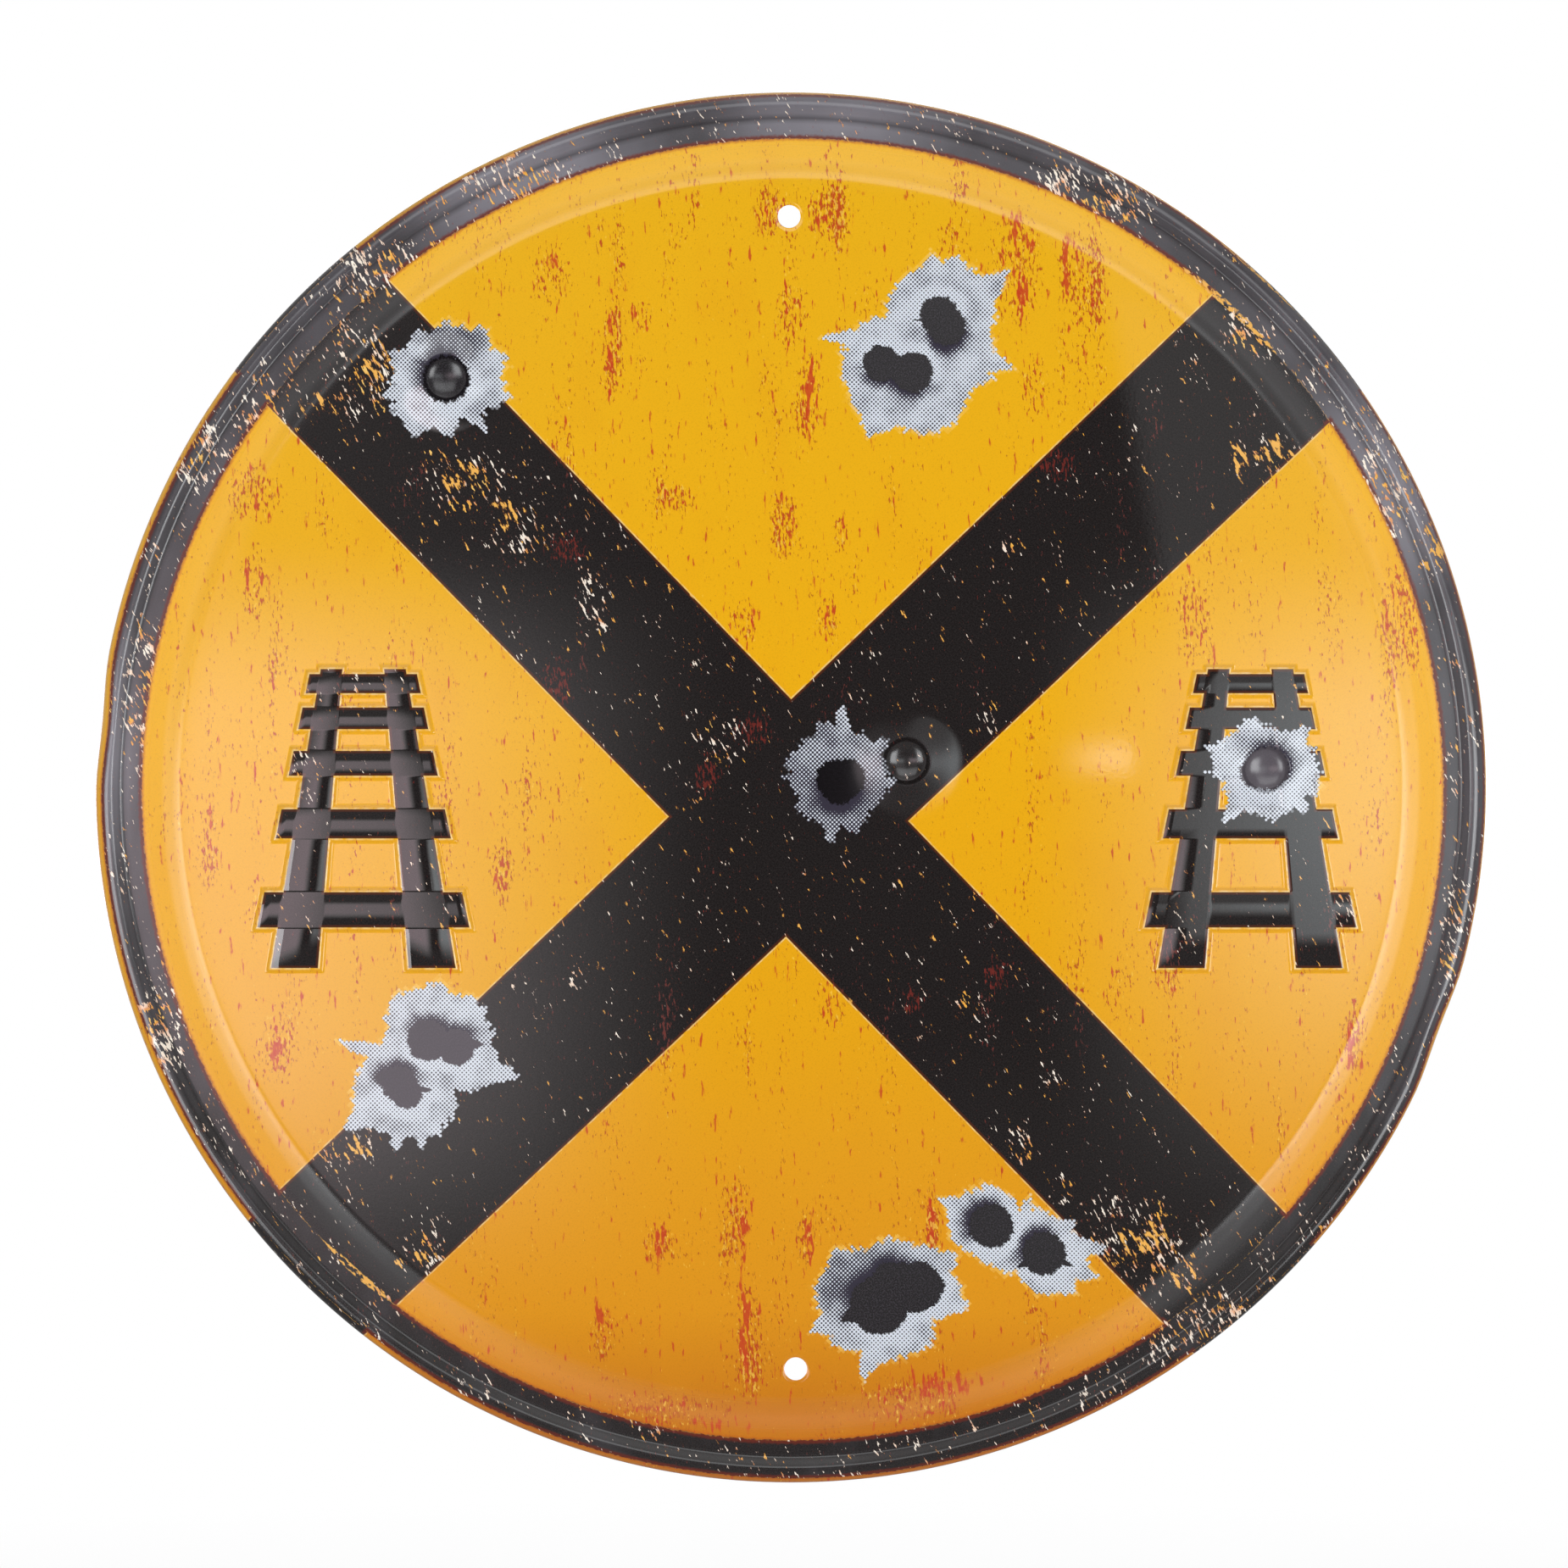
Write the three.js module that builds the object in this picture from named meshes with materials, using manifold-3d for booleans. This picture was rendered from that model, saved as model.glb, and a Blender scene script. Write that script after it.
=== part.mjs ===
// Round railway crossing wall sign, pressed from one sheet of printed tinplate.
//
// The sign hangs upright: +Z is up, the printed face looks along -Y and the wall is on the +Y side.
// The origin is the centre of the disc, halfway through its depth. All lengths are millimetres.
//
// The sheet is modelled lying on its back first: x to the right, y up the face, z away from the wall.
// Every pressed form goes through the whole sheet, so what stands proud in front is hollow behind.

import * as THREE from 'three';
import Module from 'manifold-3d';
import { mergeVertices } from 'three/addons/utils/BufferGeometryUtils.js';

// The disc and its rim, from the outside in
const signDiameter = 298.5;
const signDepth = 6.6;
const sheetThickness = 0.35;
const beadWidth = 6;
const beadHeight = 1.5;
const shoulderWidth = 3.1;
const shoulderDrop = 2.8;
const ledgeWidth = 8.1;
const stepWidth = 4.7;
const stepHeight = 0.7;

// The edge is curled in behind the rim and pressed flat where it meets the wall
const curlRadius = 1.3;
const landWidth = 1.1;
const lipAngle = THREE.MathUtils.degToRad(115);

// The nail holes, punched near the top and the bottom edge
const holeDiameter = 5;
const upperHolePlace = new THREE.Vector2(-0.4, 122.3);
const lowerHolePlace = new THREE.Vector2(1, -124.6);

// Two thumb-wide dents in the rim
const dentWidth = 32;
const dentInset = 0.42;
const dentShoulderInset = 1.1;
const dentAngles = [THREE.MathUtils.degToRad(174.7), THREE.MathUtils.degToRad(-20.5)];

// Mock shot marks that are really pressed: a low mound with a blind dimple in its middle
const moundRadius = 12.5;
const moundHeight = 0.75;
const dimpleRadius = 4.9;
const dimpleDepth = 1.9;
const dimpleLip = 1;
const shotPlaces = [
  new THREE.Vector2(-73.9, 87.7),
  new THREE.Vector2(24.7, 5.6),
  new THREE.Vector2(101.7, 3.8),
];

// The embossed pictogram on each side of the cross: a railway track that runs away from the viewer
const trackHeight = 64;
const trackWidth = 49;
const trackGauge = 29.5;
const railWidth = 10;
const tieHeight = 8.4;
const tieCount = 5;
const farEndShare = 0.46;
const embossHeight = 0.6;
const embossShoulder = 1.1;
const trackPlaces = [new THREE.Vector2(-91.6, -6.7), new THREE.Vector2(98.4, -6.7)];

// How finely the curves are cut, and how far a cutter runs past what it cuts
const discSteps = 76;
const swellSteps = 5;
const bendSteps = 4;
const dimpleSteps = 20;
const holeSteps = 24;
const shoulderSteps = 1;
const overrun = 1;

// Places that follow from the sizes above
const signRadius = signDiameter / 2;
const beadFootRadius = signRadius - beadWidth;
const crestRadius = signRadius - shoulderWidth;
const ledgeInnerRadius = beadFootRadius - ledgeWidth;
const panelRadius = ledgeInnerRadius - stepWidth;
const ledgeFace = signDepth - beadHeight;
const panelFace = ledgeFace + stepHeight;
const halfSheet = sheetThickness / 2;

const wasm = await Module();
wasm.setup();

// A closed mesh becomes a solid once its doubled points are merged and its flat triangles are gone
function solidFrom(geometry) {
  const bare = geometry.clone();
  bare.deleteAttribute('normal');
  bare.deleteAttribute('uv');
  const merged = mergeVertices(bare);
  const corners = [];
  const index = merged.index.array;
  for (let i = 0; i < index.length; i += 3) {
    const [a, b, c] = [index[i], index[i + 1], index[i + 2]];
    if (a !== b && b !== c && c !== a) corners.push(a, b, c);
  }
  return new wasm.Manifold(new wasm.Mesh({
    numProp: 3,
    vertProperties: new Float32Array(merged.attributes.position.array),
    triVerts: new Uint32Array(corners),
  }));
}

function geometryFrom(solid) {
  const mesh = solid.getMesh();
  const geometry = new THREE.BufferGeometry();
  geometry.setAttribute('position', new THREE.BufferAttribute(mesh.vertProperties, 3));
  geometry.setIndex(new THREE.BufferAttribute(mesh.triVerts, 1));
  return geometry;
}

// A profile of radius and height, turned around the z axis
function turned(profile, steps) {
  return new THREE.LatheGeometry(profile, steps).rotateX(Math.PI / 2);
}

function joined(solids) {
  return solids.reduce((sum, solid) => sum.add(solid));
}

// A soft rise or fall between two heights, level at both ends
function swell(fromRadius, fromHeight, toRadius, toHeight) {
  return Array.from({ length: swellSteps + 1 }, (_, i) => {
    const share = i / swellSteps;
    const easedShare = (1 - Math.cos(Math.PI * share)) / 2;
    return new THREE.Vector2(
      THREE.MathUtils.lerp(fromRadius, toRadius, share),
      THREE.MathUtils.lerp(fromHeight, toHeight, easedShare),
    );
  });
}

// A round or oval bend from one angle back to a smaller one
function bend(centreRadius, centreHeight, width, height, fromAngle, toAngle) {
  const curve = new THREE.EllipseCurve(centreRadius, centreHeight, width, height, fromAngle, toAngle, true);
  return curve.getPoints(bendSteps);
}

// The middle of the sheet from the centre of the disc, over the rim and round to the lip of the curl
function sheetMiddleLine() {
  const panel = panelFace - halfSheet;
  const ledge = ledgeFace - halfSheet;
  const crest = signDepth - halfSheet;
  const shoulderFoot = crest - shoulderDrop;
  const shoulderReach = signRadius - halfSheet - crestRadius;
  const bendRadius = curlRadius - halfSheet;
  const bendCentre = signRadius - curlRadius;
  const lipCentre = bendCentre - landWidth;
  const quarter = Math.PI / 2;
  return [
    new THREE.Vector2(0, panel),
    ...swell(panelRadius, panel, ledgeInnerRadius, ledge),
    ...swell(beadFootRadius, ledge, crestRadius, crest),
    ...bend(crestRadius, shoulderFoot, shoulderReach, shoulderDrop, quarter, 0).slice(1),
    ...bend(bendCentre, curlRadius, bendRadius, bendRadius, 0, -quarter),
    ...bend(lipCentre, curlRadius, bendRadius, bendRadius, -quarter, -quarter - lipAngle),
  ];
}

function squareTo(direction) {
  return new THREE.Vector2(-direction.y, direction.x);
}

// Both faces of the sheet, half a thickness to either side of its middle line
function sheetSection() {
  const middle = sheetMiddleLine();
  const last = middle.length - 1;
  const directionFrom = (i) => middle[i + 1].clone().sub(middle[i]).normalize();
  const front = [];
  const back = [];
  middle.forEach((point, i) => {
    const arriving = squareTo(directionFrom(Math.max(i - 1, 0)));
    const leaving = squareTo(directionFrom(Math.min(i, last - 1)));
    const across = arriving.clone().add(leaving).normalize();
    across.multiplyScalar(halfSheet / across.dot(arriving));
    back.push(point.clone().sub(across));
    front.unshift(point.clone().add(across));
  });
  return [...back, ...front, back[0].clone()];
}

// A dent pushes the rim in towards the centre, its shoulder further than the edge below it
function dentRim(geometry) {
  const points = geometry.attributes.position;
  const halfAngle = dentWidth / signDiameter;
  for (let i = 0; i < points.count; i += 1) {
    const radius = Math.hypot(points.getX(i), points.getY(i));
    const angle = Math.atan2(points.getY(i), points.getX(i));
    const outward = THREE.MathUtils.smoothstep(radius, beadFootRadius, signRadius - halfSheet);
    const upward = THREE.MathUtils.smoothstep(points.getZ(i), curlRadius, signDepth);
    for (const dentAngle of dentAngles) {
      const away = Math.abs(Math.atan2(Math.sin(angle - dentAngle), Math.cos(angle - dentAngle)));
      const depthShare = away < halfAngle ? (1 + Math.cos(Math.PI * away / halfAngle)) / 2 : 0;
      const inset = dentInset + (dentShoulderInset - dentInset) * upward;
      const scale = 1 - depthShare * outward * inset / Math.max(radius, panelRadius);
      points.setX(i, points.getX(i) * scale);
      points.setY(i, points.getY(i) * scale);
    }
  }
  return geometry;
}

function pressedDisc() {
  return solidFrom(dentRim(turned(sheetSection(), discSteps)));
}

// One bar of the pictogram, with the soft shoulder that the press leaves round it
function embossedBar(corners) {
  const bar = new THREE.ExtrudeGeometry(new THREE.Shape(corners), {
    depth: halfSheet,
    bevelThickness: embossHeight,
    bevelSize: embossShoulder,
    bevelSegments: shoulderSteps,
  });
  return solidFrom(bar.translate(0, 0, panelFace - halfSheet));
}

// The track narrows towards its far end as a straight track does to the eye
function trackBars(place) {
  const shrink = (share) => 1 - share * (1 - farEndShare);
  const level = (share) => place.y + trackHeight * (share - 1 / 2);
  const corner = (x, share) => new THREE.Vector2(place.x + x * shrink(share), level(share));
  const bar = (left, right, lowShare, highShare) => [
    corner(left, lowShare),
    corner(right, lowShare),
    corner(right, highShare),
    corner(left, highShare),
  ];
  const rails = [-1, 1].map((side) => {
    const middle = side * trackGauge / 2;
    return bar(middle - railWidth / 2, middle + railWidth / 2, 0, 1);
  });
  const ties = Array.from({ length: tieCount }, (_, i) => {
    const step = (i + 1 / 2) / tieCount;
    const share = step / (farEndShare + (1 - farEndShare) * step);
    const reachShare = tieHeight * shrink(share) / trackHeight / 2;
    return bar(-trackWidth / 2, trackWidth / 2, share - reachShare, share + reachShare);
  });
  return [...rails, ...ties].map(embossedBar);
}

// The low mound round a pressed shot mark
function shotMound(place) {
  const foot = panelFace - halfSheet;
  const profile = [
    new THREE.Vector2(0, foot),
    new THREE.Vector2(moundRadius, foot),
    ...swell(moundRadius, panelFace, 0, panelFace + moundHeight),
  ];
  return solidFrom(turned(profile, dimpleSteps).translate(place.x, place.y, 0));
}

// A round-bottomed plug the shape of the dimple, or of the cup that its wall makes behind the sheet
function dimplePlug(place, wall) {
  const radius = dimpleRadius + wall;
  const depth = dimpleDepth + wall;
  const top = panelFace + moundHeight + overrun;
  const bowl = bend(0, panelFace, radius, depth, 0, -Math.PI / 2).reverse();
  const profile = [...bowl, new THREE.Vector2(radius + dimpleLip, top), new THREE.Vector2(0, top)];
  return solidFrom(turned(profile, dimpleSteps).translate(place.x, place.y, 0));
}

function punch(place) {
  const rod = new THREE.CylinderGeometry(holeDiameter / 2, holeDiameter / 2, signDepth + overrun, holeSteps);
  rod.rotateX(Math.PI / 2).translate(place.x, place.y, signDepth / 2);
  return solidFrom(rod);
}

// Everything behind the printed face, which trims the walls of the dimples to that face
function behindPanel(raised) {
  const top = panelFace - halfSheet;
  const block = new THREE.CylinderGeometry(panelRadius, panelRadius, top, discSteps);
  return solidFrom(block.rotateX(Math.PI / 2).translate(0, 0, top / 2)).add(raised);
}

function signSheet() {
  const raised = joined([...trackPlaces.flatMap(trackBars), ...shotPlaces.map(shotMound)]);
  const hollows = raised.translate([0, 0, -sheetThickness]);
  const cups = joined(shotPlaces.map((place) => dimplePlug(place, sheetThickness)));
  const dimples = joined(shotPlaces.map((place) => dimplePlug(place, 0)));
  const holes = joined([upperHolePlace, lowerHolePlace].map(punch));
  return pressedDisc()
    .add(raised)
    .subtract(hollows)
    .add(cups.intersect(behindPanel(raised)))
    .subtract(dimples)
    .subtract(holes);
}

const printedTin = new THREE.MeshStandardMaterial({ color: 0xefb124, roughness: 0.35, metalness: 0.1 });

const signSheetMesh = new THREE.Mesh(geometryFrom(signSheet()), printedTin);
signSheetMesh.name = 'sign_sheet';
signSheetMesh.rotation.x = Math.PI / 2;
signSheetMesh.position.y = signDepth / 2;

const group = new THREE.Group();
group.add(signSheetMesh);

export default group;
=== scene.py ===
# %% [markdown]
# # A pressed and printed tin sign
#
# The object is a round wall sign, 300 mm wide. The real one starts as a flat disc of tinplate. It is
# printed while it is flat. Then a press forms its rim, its step and its raised pictures, and a last tool
# curls the edge in behind. This lesson keeps that order: it cuts a blank, presses it, and prints on it.
#
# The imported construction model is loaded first. It is a fixed frame, so the sign keeps its place and its
# size.

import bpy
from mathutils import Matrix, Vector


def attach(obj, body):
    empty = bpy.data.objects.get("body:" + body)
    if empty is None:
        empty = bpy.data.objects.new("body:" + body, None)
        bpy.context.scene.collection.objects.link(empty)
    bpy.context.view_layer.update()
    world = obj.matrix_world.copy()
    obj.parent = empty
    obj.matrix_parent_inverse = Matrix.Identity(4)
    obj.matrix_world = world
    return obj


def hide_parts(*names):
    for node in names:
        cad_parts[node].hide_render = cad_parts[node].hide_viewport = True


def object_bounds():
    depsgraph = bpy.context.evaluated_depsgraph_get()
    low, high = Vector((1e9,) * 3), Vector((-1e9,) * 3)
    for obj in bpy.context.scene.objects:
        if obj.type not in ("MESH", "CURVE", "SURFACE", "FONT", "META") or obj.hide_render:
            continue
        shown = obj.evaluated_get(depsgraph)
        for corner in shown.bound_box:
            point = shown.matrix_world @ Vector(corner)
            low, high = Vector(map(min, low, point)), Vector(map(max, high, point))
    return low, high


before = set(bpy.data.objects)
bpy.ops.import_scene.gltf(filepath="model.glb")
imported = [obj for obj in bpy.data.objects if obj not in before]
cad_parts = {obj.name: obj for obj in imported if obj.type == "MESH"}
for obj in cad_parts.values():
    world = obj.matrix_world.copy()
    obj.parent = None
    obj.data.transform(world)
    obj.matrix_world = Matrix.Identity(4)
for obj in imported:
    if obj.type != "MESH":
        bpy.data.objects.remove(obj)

import math
import random
from functools import reduce

import bmesh
import bpy
from mathutils import Vector
from mathutils.bvhtree import BVHTree
from mathutils.geometry import delaunay_2d_cdt

cad_low, cad_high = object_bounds()
print("the frame's box in metres:", cad_low, cad_high)

# %% [markdown]
# ## The sizes
#
# All lengths are metres, because Blender's unit is the metre, and `mm` makes them easy to read. The radius
# and the depth come from the frame. The rest are the sizes of the press tools, which a drawing would give.

# %% Sizes of the sheet and its rim
mm = 0.001
sign_radius = (cad_high.z - cad_low.z) / 2
sign_depth = cad_high.y - cad_low.y
sheet_thickness = 0.35 * mm
half_sheet = sheet_thickness / 2

bead_width = 6 * mm
bead_height = 1.5 * mm
shoulder_width = 3.1 * mm
shoulder_drop = 2.8 * mm
ledge_width = 8.1 * mm
step_width = 4.7 * mm
step_height = 0.7 * mm
curl_radius = 1.3 * mm
land_width = 1.1 * mm
lip_angle = math.radians(115)

bead_foot_radius = sign_radius - bead_width
crest_radius = sign_radius - shoulder_width
ledge_inner_radius = bead_foot_radius - ledge_width
panel_radius = ledge_inner_radius - step_width
crest_level = sign_depth - half_sheet
ledge_level = crest_level - bead_height
panel_level = ledge_level + step_height
print(f"disc radius {sign_radius / mm:.2f} mm, flat panel radius {panel_radius / mm:.2f} mm")

# %% Sizes of what is pressed into the panel
nail_hole_radius = 2.5 * mm
nail_hole_places = [Vector((-0.4, 122.3)) * mm, Vector((1, -124.6)) * mm]
hole_draw_width = 0.7 * mm

mound_radius = 12.5 * mm
dimple_radius = 4.9 * mm
dimple_lip = 1 * mm
wall_overshoot = 1 * mm
upper_mark = Vector((-73.9, 87.7)) * mm
middle_mark = Vector((24.7, 5.6)) * mm
right_mark = Vector((101.7, 3.8)) * mm
pressed_marks = [upper_mark, middle_mark, right_mark]

track_height = 64 * mm
track_width = 49 * mm
track_gauge = 29.5 * mm
rail_width = 10 * mm
tie_height = 8.4 * mm
tie_count = 5
far_end_share = 0.46
emboss_shoulder = 1.1 * mm
left_track = Vector((-91.6, -6.7)) * mm
right_track = Vector((98.4, -6.7)) * mm
print(len(pressed_marks), "pressed shot marks and two tracks of", tie_count, "ties")

# %% [markdown]
# ## The die line
#
# Seen in section, the press tool is one line. It runs from the middle of the disc over the step, the ledge
# and the bead, down the flank and round the curl to the lip. Soft rises are half a cosine wave, level at
# both ends, and round bends are parts of an ellipse. The line could be drawn with Bezier handles, but a
# formula keeps the bends true and lets the sizes drive it.

# %% Rises and bends


def swell(share):
    """Rises from 0 to 1 and is level at both ends."""
    return (1 - math.cos(math.pi * share)) / 2


def rise(start, end, steps):
    """A soft rise or fall between two places, each a radius and a height."""
    points = []
    for i in range(steps + 1):
        share = i / steps
        radius = start[0] + (end[0] - start[0]) * share
        height = start[1] + (end[1] - start[1]) * swell(share)
        points.append(Vector((radius, height)))
    return points


def bend(centre, reach, start_angle, end_angle, steps):
    """Part of an ellipse, from one angle to another."""
    points = []
    for i in range(steps + 1):
        angle = start_angle + (end_angle - start_angle) * i / steps
        radius = centre[0] + reach[0] * math.cos(angle)
        height = centre[1] + reach[1] * math.sin(angle)
        points.append(Vector((radius, height)))
    return points


print("rises and bends are ready")

# %% Draw the die line
flat_margin = 0.25 * mm


def draw_die_line():
    """The middle of the sheet, from the centre of the disc to the lip of the curl."""
    quarter = math.pi / 2
    shoulder_foot = crest_level - shoulder_drop
    shoulder_reach = sign_radius - half_sheet - crest_radius
    bend_radius = curl_radius - half_sheet
    curl_centre = sign_radius - curl_radius
    lip_centre = curl_centre - land_width
    return [
        Vector((0, panel_level)),
        Vector((panel_radius - 3 * flat_margin, panel_level)),
        Vector((panel_radius - flat_margin, panel_level)),
        *rise((panel_radius, panel_level), (ledge_inner_radius, ledge_level), 12),
        Vector((ledge_inner_radius + flat_margin, ledge_level)),
        Vector(((ledge_inner_radius + bead_foot_radius) / 2, ledge_level)),
        Vector((bead_foot_radius - flat_margin, ledge_level)),
        *rise((bead_foot_radius, ledge_level), (crest_radius, crest_level), 12),
        *bend((crest_radius, shoulder_foot), (shoulder_reach, shoulder_drop), quarter, 0, 10)[1:],
        *bend((curl_centre, curl_radius), (bend_radius, bend_radius), 0, -quarter, 6),
        *bend((lip_centre, curl_radius), (bend_radius, bend_radius), -quarter, -quarter - lip_angle, 8),
    ]


die_line = draw_die_line()
print(len(die_line), "places on the die line")

# %% The width of the blank
flat_radii = [0.0]
for here, there in zip(die_line, die_line[1:]):
    flat_radii.append(flat_radii[-1] + (there - here).length)


def flat_radius(pressed_radius):
    """Where a place of the front ends up on the flat blank, from its radius on the pressed disc."""
    for i in range(1, len(die_line)):
        if die_line[i].x >= pressed_radius:
            share = (pressed_radius - die_line[i - 1].x) / (die_line[i].x - die_line[i - 1].x)
            return flat_radii[i - 1] + share * (flat_radii[i] - flat_radii[i - 1])
    return flat_radii[-1]


print(f"the blank is {2 * flat_radii[-1] / mm:.1f} mm wide")

# %% [markdown]
# ## The blank
#
# A press can only shape the metal that is there, and a mesh can only bend where it has points. So the flat
# blank is laid out with its points where the tools will bend it: rings under the rim, rings round each
# pressed mark and each nail hole, and for each raised track a net whose lines gather along the shoulders of
# its rails and ties. A fine even grid would do the same job with ten times the faces. The plain metal
# between these nets is filled with a few large triangles, which is enough for a flat.

# %% Nets of points
rim_segments = 320
mark_segments = 72
hole_segments = 48
bowl_steps = 14
lip_steps = 10
blank = bmesh.new()


def weave(rows, closed, wanted=None):
    """Joins rows of flat places into faces, where they are wanted. A closed row comes back to its start."""
    corners = [[blank.verts.new((place[0], place[1], 0)) for place in row] for row in rows]
    for low, high in zip(corners, corners[1:]):
        count = len(low)
        for i in range(count if closed else count - 1):
            j = (i + 1) % count
            four = (low[i], low[j], high[j], high[i])
            if wanted is None or all(wanted(corner.co.xy) for corner in four):
                blank.faces.new(four)


def rings(centre, radii, segments):
    """Rings of places round a centre."""
    angles = [2 * math.pi * i / segments for i in range(segments)]
    turns = [Vector((math.cos(angle), math.sin(angle))) for angle in angles]
    return [[centre + turn * radius for turn in turns] for radius in radii]


def dimple_radii():
    """Rings that follow the round bowl of a dimple and gather at its lip."""
    bowl = [dimple_radius * math.sin(math.pi / 2 * i / bowl_steps) for i in range(1, bowl_steps + 1)]
    lip = [dimple_radius + dimple_lip * i / lip_steps for i in range(1, lip_steps // 2 + 1)]
    return bowl + lip


def mound_radii(steps):
    """Rings from the lip of a dimple down to the foot of its mound, and a little past it."""
    start = dimple_radius + dimple_lip * 0.7
    rise_radii = [start + (mound_radius - start) * i / steps for i in range(steps + 1)]
    return rise_radii + [mound_radius + flat_margin]


weave(rings(Vector((0, 0)), flat_radii[1:], rim_segments), True)
for place in (upper_mark, middle_mark):
    weave(rings(place, dimple_radii() + mound_radii(14), mark_segments), True)
hole_radii = [nail_hole_radius + step * mm for step in (0, 0.12, 0.3, 0.6, 0.9)]
for place in nail_hole_places:
    weave(rings(place, hole_radii, hole_segments), True)
print(len(blank.faces), "faces in the rings")

# %% Lines of a track's net
shoulder_steps = 8


def shrink(share):
    """How much narrower the track is, this share of the way to its far end."""
    return 1 - share * (1 - far_end_share)


def tie_share(i):
    """How far up the picture tie number i lies. Even steps look closer and closer as they go away."""
    step = (i + 0.5) / tie_count
    return step / (far_end_share + (1 - far_end_share) * step)


def shoulder_lines(edge, side, reach):
    """Lines over one shoulder, from a bar's edge outwards, and one on the flat beyond."""
    return [edge + side * reach * i / shoulder_steps for i in range(shoulder_steps + 2)]


def across_lines():
    """Lines up the picture, by how far they are from its middle at the near end."""
    reach = emboss_shoulder / far_end_share
    inner = (track_gauge - rail_width) / 2
    outer = (track_gauge + rail_width) / 2
    lines = []
    for side in (-1, 1):
        lines += shoulder_lines(side * inner, -side, reach)
        lines += shoulder_lines(side * outer, side, reach)
        lines += shoulder_lines(side * track_width / 2, side, reach)
    return lines


def up_lines():
    """Lines across the picture, by their share of its height."""
    reach = emboss_shoulder / track_height
    lines = shoulder_lines(0, -1, reach) + shoulder_lines(1, 1, reach)
    for i in range(tie_count):
        half_tie = tie_height * shrink(tie_share(i)) / track_height / 2
        lines += shoulder_lines(tie_share(i) - half_tie, -1, reach)
        lines += shoulder_lines(tie_share(i) + half_tie, 1, reach)
    return lines


print(len(across_lines()), "lines up a track and", len(up_lines()), "lines across it")

# %% Weave the track nets
mark_gap = 0.5 * mm


def merged(lines, extra, gap):
    """The lines in order, with the extra ones only where they are not crowded."""
    kept = list(lines)
    for line in extra:
        if min(lines) < line < max(lines) and min(abs(line - other) for other in kept) > gap / 2:
            kept.append(line)
    return sorted(kept)


def weave_track(place, mark):
    """The net of one picture, finer where a shot mark is pressed into it."""
    across_extra, up_extra = [], []
    if mark:
        middle = mark - place
        share = middle.y / track_height + 0.5
        steps = int(mound_radius / mark_gap)
        for i in range(-steps, steps + 1):
            across_extra.append((middle.x + i * mark_gap) / shrink(share))
            up_extra.append(share + i * mark_gap / track_height)
    across = merged(across_lines(), across_extra, mark_gap)
    ups = merged(up_lines(), up_extra, mark_gap / track_height)
    rows = []
    for share in ups:
        level = place.y + track_height * (share - 0.5)
        rows.append([Vector((place.x + line * shrink(share), level)) for line in across])
    weave(rows, False, beside_dimple_and_rim)


def beside_dimple_and_rim(place):
    """False where the right mark's dimple has rings of its own, and where a net's corner nears the rim."""
    clear_radius = max(dimple_radii()) + mark_gap
    return (place - right_mark).length > clear_radius and place.length < panel_radius - 2 * mark_gap


weld_distance = 0.02 * mm
weave_track(left_track, None)
weave_track(right_track, right_mark)
weave(rings(right_mark, dimple_radii(), mark_segments), True)
bmesh.ops.remove_doubles(blank, verts=blank.verts, dist=weld_distance)
bmesh.ops.delete(blank, geom=[v for v in blank.verts if not v.link_faces], context="VERTS")
print(len(blank.faces), "faces with the tracks")

# %% Fill the flats between the nets
woven = BVHTree.FromBMesh(blank)
blank.verts.index_update()
blank.verts.ensure_lookup_table()
edge_corners = sorted({v.index for v in blank.verts if v.is_boundary and v.co.length < panel_radius})
order = {index: i for i, index in enumerate(edge_corners)}
fences = [
    (order[e.verts[0].index], order[e.verts[1].index])
    for e in blank.edges
    if e.is_boundary and e.verts[0].index in order and e.verts[1].index in order
]
places = [blank.verts[index].co.xy for index in edge_corners]
found, _, triangles, sources, _, _ = delaunay_2d_cdt(places, fences, [], 1, 1e-8)


def bare(middle):
    """True where neither a net nor a nail hole lies under this place."""
    if any((middle - hole).length < nail_hole_radius for hole in nail_hole_places):
        return False
    return woven.ray_cast(Vector((middle.x, middle.y, 1)), Vector((0, 0, -1)))[0] is None


filled = 0
for triangle in triangles:
    middle = sum((found[i] for i in triangle), Vector((0, 0))) / 3
    if bare(middle):
        blank.faces.new([blank.verts[edge_corners[sources[i][0]]] for i in triangle])
        filled += 1
for face in blank.faces:
    face.normal_update()
    if face.normal.z < 0:
        face.normal_flip()
    face.smooth = True
blank_mesh = bpy.data.meshes.new("blank")
blank.to_mesh(blank_mesh)
loose = [e for e in blank.edges if e.is_boundary]
print(filled, "triangles fill the flats;", len(loose), "open edges, at the lip and the nail holes")
blank.free()

# %% [markdown]
# ## Wires that do sums
#
# The press below and the print after it are both networks of nodes, and both are mostly arithmetic. Wiring
# a Math node for every plus sign by hand hides the formula. This small class wraps an output socket, so
# that `a * 2 + b` adds the two nodes by itself. Whatever isn't plain arithmetic goes through `node`, which
# takes the node's type, its settings, and the values or wires of its sockets.

# %% The Wire class


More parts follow.
